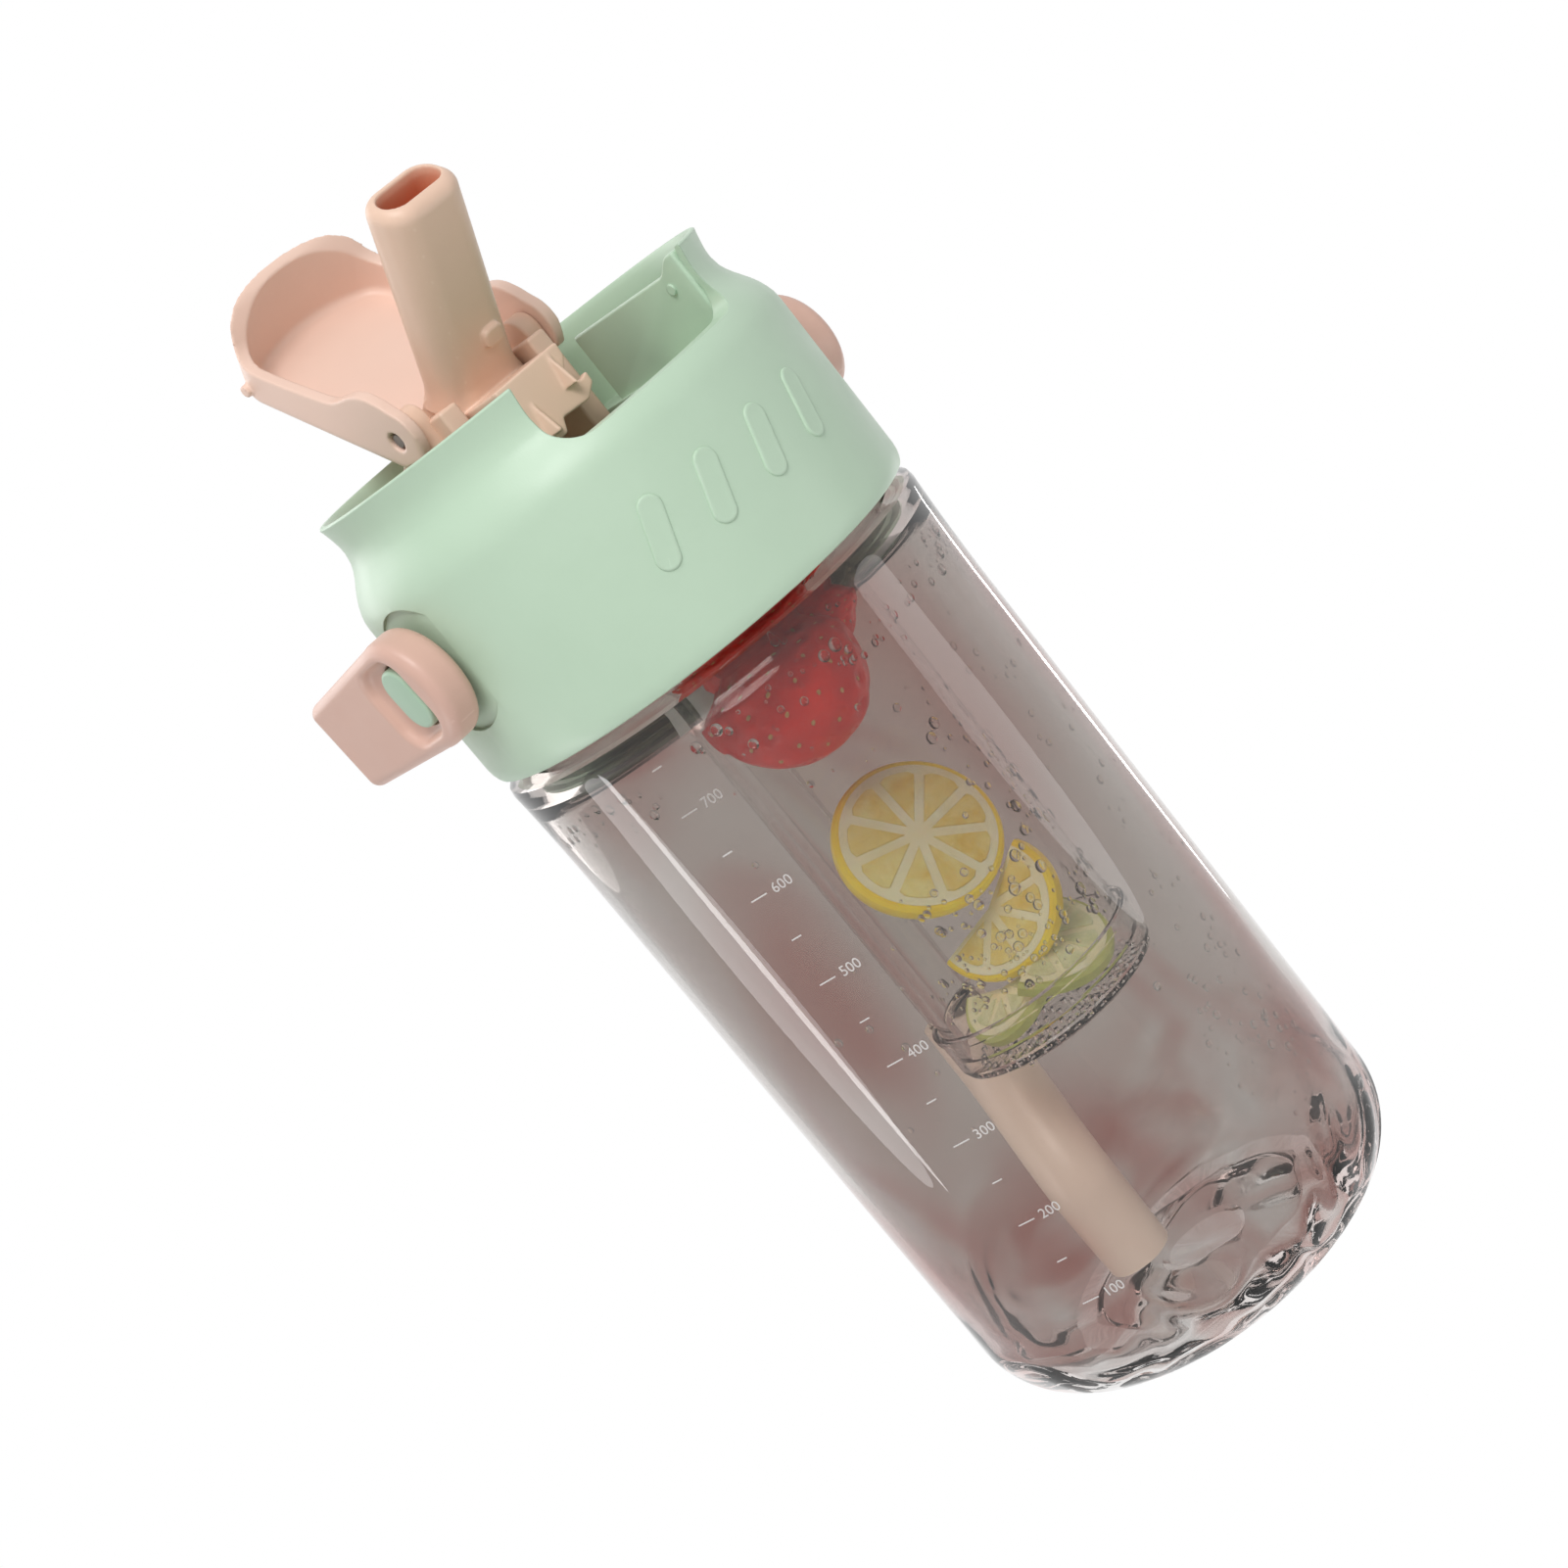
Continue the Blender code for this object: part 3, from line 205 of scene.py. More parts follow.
# Strap ends, in the stud's own frame: X out, Y to the back
STRAP_Z = 177.0 * MM
STRAP_IN = LID_R + 0.7 * MM
STRAP_OUT = STRAP_IN + 7.5 * MM
STUD_HEAD_X = STRAP_IN + 1.3 * MM
STRAP_R = 10.8 * MM
STRAP_TIP = 35.0 * MM
STRAP_TIP_HALF = 9.2 * MM
STRAP_CORNER = 2.2 * MM
STRAP_EDGE = 2.9 * MM
STRAP_DROOP = 5.0
DISH_FLOOR_X = STRAP_OUT - 1.9 * MM
DISH_WALL = 0.8 * MM
DISH_HALF_Z = 7.8 * MM
DISH_FRONT = 5.4 * MM
DISH_BACK = 9.4 * MM
DISH_CORNER = 4.6 * MM
# the dish's outline as a share of its own size, and how far out from its floor, in mm
DISH_STEPS = ((0.8, 0), (0.9, 0.15), (0.955, 0.55), (0.99, 1.2), (1.03, 1.7), (1.1, 2.05), (1.2, 2.5))
BUTTON_HALF_Y = 4.0 * MM
BUTTON_HALF_Z = 5.9 * MM
BUTTON_OUT_X = STRAP_OUT - 0.4 * MM
BUTTON_FLANGE_R = 5.8 * MM
BUTTON_FLANGE = 0.7 * MM
STRAP_SLOT = 3.0 * MM
STRAP_SLOT_HALF = 6.8 * MM
STRAP_SLOT_DEPTH = 13.0 * MM

# Printed scale
PRINT_R = BODY_R + 0.03 * MM
SCALE_FLOOR_Z = 7.0 * MM
BORE_AREA = pi * INNER_R**2
LITRE = 0.001
SCALE_STEP = 0.1 * LITRE
SCALE_FIRST = 1
SCALE_LAST = 7
SCALE_ANGLE = -55.0
SCALE_TEXT = 2.7 * MM
SCALE_TICK = 3.4 * MM
SCALE_LINE = 0.24 * MM


def arc(centre, radius, start, end, count):
    """Points on a circle, with the angles in degrees."""
    angles = [radians(start + (end - start) * share) for share in shares(count)]
    return [(centre[0] + radius * cos(a), centre[1] + radius * sin(a)) for a in angles]


def shares(steps):
    """Even steps from 0 to 1."""
    return [i / steps for i in range(steps + 1)]


def ease(share):
    """Turns an even run from 0 to 1 into one that starts and ends gently."""
    return share * share * (3 - 2 * share)


def near(u, v, *steps):
    """Points round a corner, each given by its steps from the corner in millimetres."""
    return [(u + du * MM, v + dv * MM) for du, dv in steps]


def on_wall(radius, angle, z):
    """A spot on a round wall, with the angle from the front in radians."""
    return Vector((radius * sin(angle), -radius * cos(angle), z))


def rounded_box(half_u, half_v, radius, count):
    """The outline of a rectangle with round corners."""
    u, v = half_u - radius, half_v - radius
    found = []
    for centre, start in (((u, v), 0), ((-u, v), 90), ((-u, -v), 180), ((u, -v), 270)):
        found += arc(centre, radius, start, start + 90, count)
    return found


def eased(points, rounds):
    """Cuts the corners of an open line again and again, which turns it into a smooth curve."""
    for _ in range(rounds):
        found = [points[0]]
        for one, two in zip(points, points[1:]):
            found.append((0.75 * one[0] + 0.25 * two[0], 0.75 * one[1] + 0.25 * two[1]))
            found.append((0.25 * one[0] + 0.75 * two[0], 0.25 * one[1] + 0.75 * two[1]))
        points = found + [points[-1]]
    return points


def mirrored(outline):
    return [(-u, v) for u, v in outline]


# Materials


class Nodes:
    """Builds the nodes of a material or the world round its own shader."""

    def __init__(self, owner):
        owner.use_nodes = True
        self.owner = owner
        self.tree = owner.node_tree
        self.shader = self.tree.nodes.get("Principled BSDF") or self.tree.nodes["Background"]

    def plug(self, node, inputs):
        """Links the inputs that are given as sockets and sets the others."""
        for key, value in inputs.items():
            if isinstance(value, bpy.types.NodeSocket):
                self.tree.links.new(value, node.inputs[key])
            else:
                node.inputs[key].default_value = value

    def add(self, kind, inputs=None, **values):
        node = self.tree.nodes.new("ShaderNode" + kind)
        for key, value in values.items():
            setattr(node, key, value)
        self.plug(node, inputs or {})
        return node

    def out(self, **inputs):
        self.plug(self.shader, {key.replace("_", " "): value for key, value in inputs.items()})
        return self.owner

    def coords(self):
        return self.add("TexCoord").outputs["Object"]

    def height(self):
        return self.add("SeparateXYZ", {"Vector": self.coords()}).outputs["Z"]

    def noise(self, scale, detail=3.0, distortion=0.0, stretch=None):
        source = self.coords()
        if stretch is not None:
            source = self.add("Mapping", {"Vector": source, "Scale": stretch}).outputs["Vector"]
        inputs = {"Vector": source, "Scale": scale, "Detail": detail, "Distortion": distortion}
        return self.add("TexNoise", inputs).outputs["Fac"]

    def ramp(self, source, *stops):
        node = self.add("ValToRGB", {"Fac": source})
        elements = node.color_ramp.elements
        while len(elements) < len(stops):
            elements.new(0.5)
        for element, (place, colour) in zip(elements, stops):
            element.position = place
            element.color = (*colour, 1)
        return node.outputs["Color"]

    def remap(self, source, low, high, start=0.3, end=0.7):
        inputs = {"Value": source, "From Min": start, "From Max": end, "To Min": low, "To Max": high}
        return self.add("MapRange", inputs).outputs["Result"]

    def bump(self, source, depth, strength=1.0, after=None):
        inputs = {"Height": source, "Distance": depth, "Strength": strength}
        if after is not None:
            inputs["Normal"] = after
        return self.add("Bump", inputs).outputs["Normal"]

    def maths(self, operation, one, two):
        return self.add("Math", {0: one, 1: two}, operation=operation).outputs[0]

    def mixed(self, share, one, two):
        inputs = {"Factor": share, "A": one, "B": two}
        return self.add("Mix", inputs, data_type="RGBA").outputs["Result"]

    def recess(self, colour, hollow_shade, above):
        """Paints shade into the colour in narrow hollows above a height, tinted like light that passes from
        wall to wall.
        """
        hollow = self.add("AmbientOcclusion", {"Distance": 14 * MM}, samples=6).outputs["AO"]
        high = self.remap(self.height(), 0.0, 1.0, above, above + 6 * MM)
        share = self.maths("MULTIPLY", self.remap(hollow, 1.0, 0.0, 0.25, 0.72), high)
        return self.mixed(share, colour, (*hollow_shade, 1))

    def wear(self, colour, edge):
        """Lightens the colour a little on the convex edges."""
        point = self.add("NewGeometry").outputs["Pointiness"]
        return self.mixed(self.remap(point, 0.0, 0.5, 0.60, 0.76), colour, (*edge, 1))

    def blend(self, share, one, two, end):
        """Sends one shader, or for a share of the rays another, to the output."""
        mix = self.add("MixShader", {0: share, 1: one.outputs[0], 2: two.outputs[0]})
        self.tree.links.new(mix.outputs[0], self.tree.nodes[end].inputs["Surface"])
        return self.owner

    def let_light_through(self):
        """Lamps and soft light pass the clear wall, so that what is inside is lit."""
        path = self.add("LightPath").outputs
        either = self.maths("MAXIMUM", path["Is Shadow Ray"], path["Is Diffuse Ray"])
        return self.blend(either, self.shader, self.add("BsdfTransparent"), "Material Output")

    def background_rays(self):
        """1 for the rays that see the background: camera, mirror and glass rays."""
        path = self.add("LightPath").outputs
        both = self.maths("MAXIMUM", path["Is Camera Ray"], path["Is Transmission Ray"])
        return self.maths("MAXIMUM", both, path["Is Glossy Ray"])


def new_material(name):
    return Nodes(bpy.data.materials.new(name))


def moulded(name, light, dark, edge, roughness, soft_edge=0.0, hollow_shade=None, above=0.0):
    """Satin moulded plastic: faint flow mottling, fine grain and lighter edges."""
    n = new_material(name)
    colour = n.ramp(n.noise(38.0, 4.0, 0.6), (0.25, dark), (0.75, light))
    # painted shade in narrow hollows, when a shade colour is given
    if hollow_shade is not None:
        colour = n.recess(colour, hollow_shade, above)
    soft = n.noise(120.0, 3.0)
    start = None
    if soft_edge:
        start = n.add("Bevel", {"Radius": soft_edge}, samples=6).outputs["Normal"]
    return n.out(
        Base_Color=n.wear(colour, edge),
        Roughness=n.remap(soft, roughness - 0.05, roughness + 0.06),
        Normal=n.bump(soft, GRAIN * 2.5, 0.5, n.bump(n.noise(2600.0, 2.0), GRAIN, after=start)),
        Specular_IOR_Level=0.34,
        Coat_Weight=0.03,
        Coat_Roughness=0.3,
    )


def clear_plastic(name, colours, waviness, scale, ior=1.46, shine=0.5, swirl=None):
    """Clear moulded plastic, slightly wavy, with strong swirls below a height where its base is thick. Dark
    rose colours given to it are painted shade and painted reflection, mixed in more towards the base.
    """
    n = new_material(name)
    bump = n.bump(n.noise(scale, 2.5, 0.8, (1.0, 1.0, 0.4)), waviness)
    tint_and_painted_light = n.ramp(n.noise(13.0, 2.0, 1.6, (1.0, 1.0, 0.6)), *zip((0.36, 0.50, 0.63), colours))
    if swirl is not None:
        height = n.height()
        swirls = n.noise(34.0, 0.0, 2.2, (1.0, 1.0, 1.2))
        bump = n.bump(swirls, 3.2 * MM, n.remap(height, 1.0, 0.0, swirl * 0.45, swirl), bump)
        # painted shade and painted reflection, mixed in more strongly towards the bottom
        low = n.ramp(n.noise(30.0, 2.0, 1.2), *zip((0.42, 0.52, 0.60), PAINTED_BASE_SHADE_AND_REFLECTION))
        tint_and_painted_light = n.mixed(n.remap(height, 0.8, 0.0, swirl * 0.3, swirl * 1.5), tint_and_painted_light, low)
    n.out(Transmission_Weight=1.0, IOR=ior, Specular_IOR_Level=shine)
    n.out(Base_Color=tint_and_painted_light, Roughness=n.remap(n.noise(90.0), 0.0, 0.012), Normal=bump)
    return n.let_light_through()


def silicone(name, light, dark):
    n = new_material(name)
    n.out(Subsurface_Weight=0.15, Subsurface_Scale=0.002, Subsurface_Radius=(1.0, 0.8, 0.6))
    return n.out(
        Base_Color=n.ramp(n.noise(60.0), (0.3, dark), (0.7, light)),
        Roughness=n.remap(n.noise(200.0), 0.45, 0.6),
        Normal=n.bump(n.noise(900.0), 0.01 * MM),
    )


def steel(name):
    n = new_material(name)
    lines = n.noise(700.0, 2.0, 0.0, (0.05, 1.0, 1.0))
    return n.out(
        Base_Color=n.ramp(lines, (0.3, (0.13, 0.11, 0.10)), (0.7, (0.22, 0.19, 0.17))),
        Roughness=n.remap(lines, 0.42, 0.55),
        Normal=n.bump(lines, 0.006 * MM),
        Metallic=1.0,
    )


def fruit_flesh(name, dark, light, scale, depth, roughness, subsurface):
    """Wet fruit: mottled colour, light that sinks in a little and a fleshy bump, its depth in mm."""
    n = new_material(name)
    n.out(Subsurface_Weight=subsurface, Subsurface_Scale=0.003, Subsurface_Radius=(1.0, 0.5, 0.3))
    n.out(Coat_Weight=0.15, Coat_Roughness=0.08, Specular_IOR_Level=0.25)
    bumpy = n.noise(scale * 4, 4.0, 0.5)
    return n.out(
        Base_Color=n.ramp(n.noise(scale, 5.0, 0.8), (0.3, dark), (0.7, light)),
        Roughness=n.remap(bumpy, roughness, roughness + 0.15),
        Normal=n.bump(bumpy, depth * MM),
    )


MINT = moulded(
    "mint_plastic", (0.505, 0.655, 0.505), (0.475, 0.625, 0.475), (0.60, 0.73, 0.60), 0.36, 0.35 * MM
)
MINT_INNER = moulded("mint_inner", (0.46, 0.60, 0.46), (0.43, 0.57, 0.43), (0.52, 0.66, 0.52), 0.42)
BUTTON_MINT = moulded("button_plastic", (0.40, 0.56, 0.42), (0.37, 0.52, 0.39), (0.50, 0.65, 0.52), 0.36)
PINK = moulded("pink_plastic", (0.84, 0.605, 0.50), (0.80, 0.57, 0.47), (0.87, 0.66, 0.56), 0.40)
TAN = moulded(
    "spout_plastic",
    (0.80, 0.57, 0.44),
    (0.76, 0.53, 0.405),
    (0.86, 0.645, 0.52),
    0.38,
    # painted shade and bounced orange light in the spout's mouth
    hollow_shade=(0.80, 0.26, 0.13),
    above=PIVOT.z + 14 * MM,
)
STRAP_PINK = moulded("strap_plastic", (0.665, 0.430, 0.350), (0.63, 0.40, 0.325), (0.76, 0.53, 0.45), 0.38)
STRAW_PINK = moulded("straw_plastic", (0.96, 0.79, 0.665), (0.94, 0.76, 0.635), (0.97, 0.83, 0.72), 0.35)
# Painted shade and painted reflection: these grey and rose colours stand in for dark surroundings seen
# through and mirrored in the clear wall, the first set towards the base.
PAINTED_BASE_SHADE_AND_REFLECTION = ((0.60, 0.585, 0.57), (0.50, 0.40, 0.375), (0.40, 0.19, 0.165))
PAINTED_SHADE_AND_REFLECTION = ((0.54, 0.512, 0.486), (0.505, 0.448, 0.422), (0.435, 0.25, 0.225))
CLEAR_BODY = clear_plastic("clear_body", PAINTED_SHADE_AND_REFLECTION, 0.07 * MM, 26.0, shine=0.3, swirl=26.0 * MM)
CUP_TINT = ((0.99, 0.985, 0.98), (0.98, 0.975, 0.965), (0.97, 0.96, 0.95))
CLEAR_CUP = clear_plastic("clear_cup", CUP_TINT, 0.06 * MM, 40.0, ior=1.28, shine=0.3)
WATER_TINT = ((0.99, 0.99, 0.99), (0.98, 0.98, 0.98), (0.97, 0.97, 0.97))
WATER = clear_plastic("water_drops", WATER_TINT, 0.01 * MM, 90.0, ior=1.33)
SILICONE = silicone("silicone_rubber", (0.80, 0.78, 0.75), (0.74, 0.72, 0.69))
STEEL = steel("pin_steel")
BERRY = fruit_flesh("strawberry_skin", (0.62, 0.004, 0.003), (0.96, 0.035, 0.018), 90.0, 0.2, 0.25, 0.2)
SEED = fruit_flesh("strawberry_seed", (0.55, 0.32, 0.10), (0.75, 0.50, 0.18), 400.0, 0.03, 0.3, 0.1)
LEMON_RIND = fruit_flesh("lemon_rind", (0.92, 0.64, 0.02), (0.98, 0.77, 0.06), 160.0, 0.1, 0.3, 0.2)
LEMON_PULP = fruit_flesh("lemon_pulp", (0.84, 0.56, 0.09), (0.95, 0.80, 0.32), 220.0, 0.25, 0.2, 0.35)
PITH = fruit_flesh("citrus_pith", (0.86, 0.76, 0.42), (0.94, 0.89, 0.62), 120.0, 0.12, 0.4, 0.3)
LIME_RIND = fruit_flesh("lime_rind", (0.42, 0.47, 0.10), (0.60, 0.62, 0.20), 160.0, 0.1, 0.3, 0.2)
LIME_PULP = fruit_flesh("lime_pulp", (0.62, 0.60, 0.28), (0.82, 0.80, 0.50), 220.0, 0.2, 0.2, 0.35)
PRINT_WHITE = moulded("scale_print", (0.66, 0.63, 0.62), (0.56, 0.53, 0.52), (0.7, 0.68, 0.67), 0.5)


# Mesh helpers


def finish(obj, material, body, replaced=(), sharp=35.0):
    """Gives a finished piece its material, its body and its shading."""
    obj.data.materials.clear()
    obj.data.materials.append(material)
    obj.data.shade_smooth()
    obj.data.set_sharp_from_angle(angle=radians(sharp))
    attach(obj, body)
    if replaced:
        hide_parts(*replaced)


def add_object(name, data):
    obj = bpy.data.objects.new(name, data)
    bpy.context.scene.collection.objects.link(obj)
    return obj


def obj_from(name, bm):
    bmesh.ops.recalc_face_normals(bm, faces=bm.faces)
    mesh = bpy.data.meshes.new(name)
    bm.to_mesh(mesh)
    bm.free()
    return add_object(name, mesh)


def lathe(name, profile, steps=128, centre_y=0.0):
    """A closed profile of (radius, height) points turned about a vertical axis."""
    bm = bmesh.new()
    angles = [tau * i / steps for i in range(steps)]
    rings = []
    for radius, z in profile:
        if radius < 1e-7:
            rings.append([bm.verts.new((0, centre_y, z))])
            continue
        spots = [(radius * cos(a), centre_y + radius * sin(a), z) for a in angles]
        rings.append([bm.verts.new(spot) for spot in spots])
    pairs = list(zip(rings, rings[1:]))
    if len(rings[0]) > 1 and len(rings[-1]) > 1:
        pairs.append((rings[-1], rings[0]))
    for one, two in pairs:
        for i in range(steps):
            j = (i + 1) % steps
            corners = [one[i % len(one)], one[j % len(one)], two[j % len(two)], two[i % len(two)]]
            unique = list(dict.fromkeys(corners))
            if len(unique) > 2:
                bm.faces.new(unique)
    return obj_from(name, bm)


def spin(axis, angle):
    return Matrix.Rotation(radians(angle), 4, axis)


NO_TURN = Matrix.Identity(4)
AXES = {
    "X": Matrix(((0, 0, 1, 0), (1, 0, 0, 0), (0, 1, 0, 0), (0, 0, 0, 1))),
    "Y": Matrix(((1, 0, 0, 0), (0, 0, -1, 0), (0, 1, 0, 0), (0, 0, 0, 1))),
    "Z": NO_TURN,
}


def prism(name, outline, axis, low, high, turn=NO_TURN):
    """An outline pushed along an axis: (y, z) points along X, (x, z) along Y, (x, y) along Z."""
    bm = bmesh.new()
    face = bm.faces.new([bm.verts.new((u, v, 0)) for u, v in outline])
    pushed = bmesh.ops.extrude_face_region(bm, geom=[face])
    top = {v for v in pushed["geom"] if isinstance(v, bmesh.types.BMVert)}
    sign = -1 if axis == "Y" else 1
    for v in bm.verts:
        v.co.z = sign * (high if v in top else low)
    bm.transform(turn @ AXES[axis])
    return obj_from(name, bm)


def soft_prism(name, outline, axis, low, high, edge, segments, turn=NO_TURN, sharp=50):
    """A prism that is rounded where its faces meet at more than an angle."""
    solid = prism(name, outline, axis, low, high, turn)
    limit = radians(sharp)
    modify(solid, "BEVEL", width=edge, segments=segments, limit_method="ANGLE", angle_limit=limit)
    return baked(solid)


def box(name, low, high, turn=NO_TURN):
    outline = [(low[0], low[1]), (high[0], low[1]), (high[0], high[1]), (low[0], high[1])]
    return prism(name, outline, "Z", low[2], high[2], turn)


def rod(name, start, end, radius, facets=48):
    start, end = Vector(start), Vector(end)
    along = end - start
    turn = along.to_track_quat("Z", "Y").to_matrix().to_4x4()
    bm = bmesh.new()
    add_cylinder(bm, facets, radius, along.length, Matrix.Translation((start + end) / 2) @ turn)
    return obj_from(name, bm)


def add_cylinder(bm, facets, radius, depth, where):
    bmesh.ops.create_cone(
        bm, cap_ends=True, segments=facets, radius1=radius, radius2=radius, depth=depth, matrix=where
    )


def peg(name, place, inner, outer, y, z, radius, facets=48, turn=NO_TURN):
    """A rod along X, on the side that place says: -1 is the left one and 1 the right one."""
    start, end = (turn @ Vector((place * x, y, z)) for x in (inner, outer))
    return rod(name, start, end, radius, facets)


def skin(name, rings, closed=False):
    """Joins rings of points, one after another, and caps the ends unless the last meets the first."""
    bm = bmesh.new()
    loops = [[bm.verts.new(point) for point in ring] for ring in rings]
    pairs = list(zip(loops, loops[1:]))
    if closed:
        pairs.append((loops[-1], loops[0]))
    count = len(loops[0])
    for one, two in pairs:
        for i in range(count):
            j = (i + 1) % count
            bm.faces.new((one[i], one[j], two[j], two[i]))
    if not closed:
        bm.faces.new(loops[0])
        bm.faces.new(loops[-1])
    return obj_from(name, bm)


def merged(obj):
    """Joins the points that coincide, such as those on a turned shape's axis."""
    bm = bmesh.new()
    bm.from_mesh(obj.data)
    bmesh.ops.remove_doubles(bm, verts=bm.verts, dist=1e-6)
    bmesh.ops.recalc_face_normals(bm, faces=bm.faces)
    bm.to_mesh(obj.data)
    bm.free()
    return obj


def soften(obj, voxel, rounds):
    """Remeshes a piece finely and smooths it, which rounds its edges as moulding does."""
    modify(obj, "REMESH", mode="VOXEL", voxel_size=voxel)
    modify(obj, "SMOOTH", factor=0.5, iterations=rounds)
    baked(obj)


def modify(obj, kind, **values):
    modifier = obj.modifiers.new(kind.lower(), kind)
    for key, value in values.items():
        setattr(modifier, key, value)


def baked(obj, *tools):
    """Applies an object's modifiers and throws away the tools they used."""
    bpy.context.view_layer.update()
    graph = bpy.context.evaluated_depsgraph_get()
    mesh = bpy.data.meshes.new_from_object(obj.evaluated_get(graph))
    obj.modifiers.clear()
    obj.data = mesh
    for tool in tools:
        bpy.data.objects.remove(tool, do_unlink=True)
    return obj


def combined(obj, operation, *tools):
    for tool in tools:
        modify(obj, "BOOLEAN", operation=operation, object=tool, solver="EXACT")
    baked(obj, *tools)


def cut(obj, *tools):
    combined(obj, "DIFFERENCE", *tools)


def join(obj, *tools):
    combined(obj, "UNION", *tools)


# Bottle


def bottle_profile():
    neck_inner = NECK_R - NECK_WALL
    profile = [(0, 0), (FOOT_PAD_R, 0), (FOOT_PAD_R + PUSH_UP, PUSH_UP), (FOOT_INNER_R, PUSH_UP)]
    profile += [(FOOT_INNER_R + PUSH_UP, 0.1 * MM), (FOOT_INNER_R + 1.4 * PUSH_UP, 0)]
    profile += arc((BODY_R - BASE_FILLET, BASE_FILLET), BASE_FILLET, -90, 0, 20)
    flare_start = SHOULDER_Z - FLARE_LENGTH
    for share in shares(8):
        profile.append((BODY_R + BODY_FLARE * share**2, flare_start + FLARE_LENGTH * 0.92 * share))
    profile += near(BODY_R, SHOULDER_Z, (0.35, -0.9), (-0.6, -0.2))
    profile += near(NECK_R, SHOULDER_Z, (1.5, 0), (0, 1.2)) + near(NECK_R, NECK_TOP_Z, (0, -0.4), (-0.4, 0))
    profile += near(neck_inner, NECK_TOP_Z, (0.4, 0), (0, -0.4)) + near(neck_inner, SHOULDER_Z, (0, -1))
    profile += near(INNER_R, SHOULDER_Z, (-1.2, -4.5), (0, -8))
    profile += arc((INNER_R - FLOOR_FILLET, FLOOR_Z + FLOOR_FILLET), FLOOR_FILLET, 0, -90, 14)
    return profile + [(0, FLOOR_Z)]


def thread_ridge():
    """The neck's screw thread: one smooth ridge that fades out at both ends."""
    steps = 64
    count = int(THREAD_TURNS * steps)
    half = 1.0 * MM
    points = []
    for i in range(count + 1):
        angle = tau * i / steps
        grow = min(1.0, i / 8, (count - i) / 8)
        z = THREAD_Z + THREAD_PITCH * i / steps
        ring = []
        for share in (-1.0, -0.6, -0.3, 0.0, 0.3, 0.6, 1.0):
            radius = NECK_R - 0.3 * MM + (THREAD_HEIGHT + 0.3 * MM) * grow * (1 - share**2)
            ring.append((radius * cos(angle), radius * sin(angle), z + share * half))
        points.append(ring)
    return skin("neck_thread", points)


def make_bottle():
    wall = lathe("bottle_wall", bottle_profile(), 192)
    finish(wall, CLEAR_BODY, "bottle", ["bottle_body"])
    finish(thread_ridge(), CLEAR_BODY, "bottle")


# Lid


def crown_outline(offset):
    """Radius and height of the crown's side, from the rim down to the barrel, moved in by an offset."""
    rim = near(RIM_R - offset, RIM_Z, (0, 0), (-0.35, -1.5), (-0.65, -3))
    waist = ((0.04, 1), (0, -0.4), (0.35, -2.4), (0.85, -3.6), (1.6, -4.9), (2.4, -6.1), (3.3, -7.5))
    return rim + near(WAIST_R - offset, WAIST_Z, *waist)


def lid_profile():
    bore, deck_low = LID_R - LID_WALL, DECK_Z - DECK_THICK
    profile = [(0, DECK_Z), (WAIST_R - RIM_WALL - 0.4 * MM, DECK_Z)] + crown_outline(RIM_WALL)[5:0:-1]
    profile += near(RIM_R - RIM_WALL, RIM_Z, (0.1, -0.3), (0.4, 0))
    profile += near(RIM_R, RIM_Z, (-0.35, 0), (-0.05, -0.3)) + crown_outline(0)[1:]
    profile += near(LID_R, LID_SHOULDER_Z, (-1.05, 3.6), (-0.5, 2.2), (-0.15, 0.9), (0, -0.6))
    profile += near(LID_R, LID_BOTTOM_Z, (0, 3), (-0.12, 1.8), (-0.4, 0.8), (-0.7, 0.2), (-1.1, 0))
    return profile + [(bore, LID_BOTTOM_Z)] + near(bore, deck_low, (0, -1.5), (-1.5, 0)) + [(0, deck_low)]


def channel_side():
    """The channel wall's side view: a level top, then a smooth step up to the rim at the front."""
    outer = CHANNEL_HALF + CHANNEL_WALL
    front_y = -sqrt((WAIST_R - RIM_WALL / 2) ** 2 - outer**2)
    low, high = DECK_Z - DECK_THICK / 2, RIM_Z - 0.4 * MM
    side = [(CHANNEL_BACK_Y, low), (front_y, low), (front_y, high)]
    for share in shares(8):
        side.append((CHANNEL_RISE_Y - 5.5 * (1 - share) * MM, high + (CHANNEL_TOP_Z - high) * ease(share)))
    return side + [(CHANNEL_BACK_Y, CHANNEL_TOP_Z)]


def oval_pad(name, angle):
    """One raised capsule-shaped pad with a soft edge, bent round the lid's barrel."""
    lean = radians(OVAL_LEAN)
    rings = []
    for inset, out in OVAL_STEPS:
        half_w, half_l = OVAL_WIDTH / 2 - inset * MM, OVAL_LENGTH / 2 - inset * MM
        ring = []
        for u, v in rounded_box(half_w, half_l, half_w - 0.01 * MM, 12):
            across = u * cos(lean) + v * sin(lean)
            up = v * cos(lean) - u * sin(lean)
            ring.append(on_wall(LID_R + out * MM, radians(angle) + across / LID_R, OVAL_Z + up))
        rings.append(ring)
    return skin(name, rings)


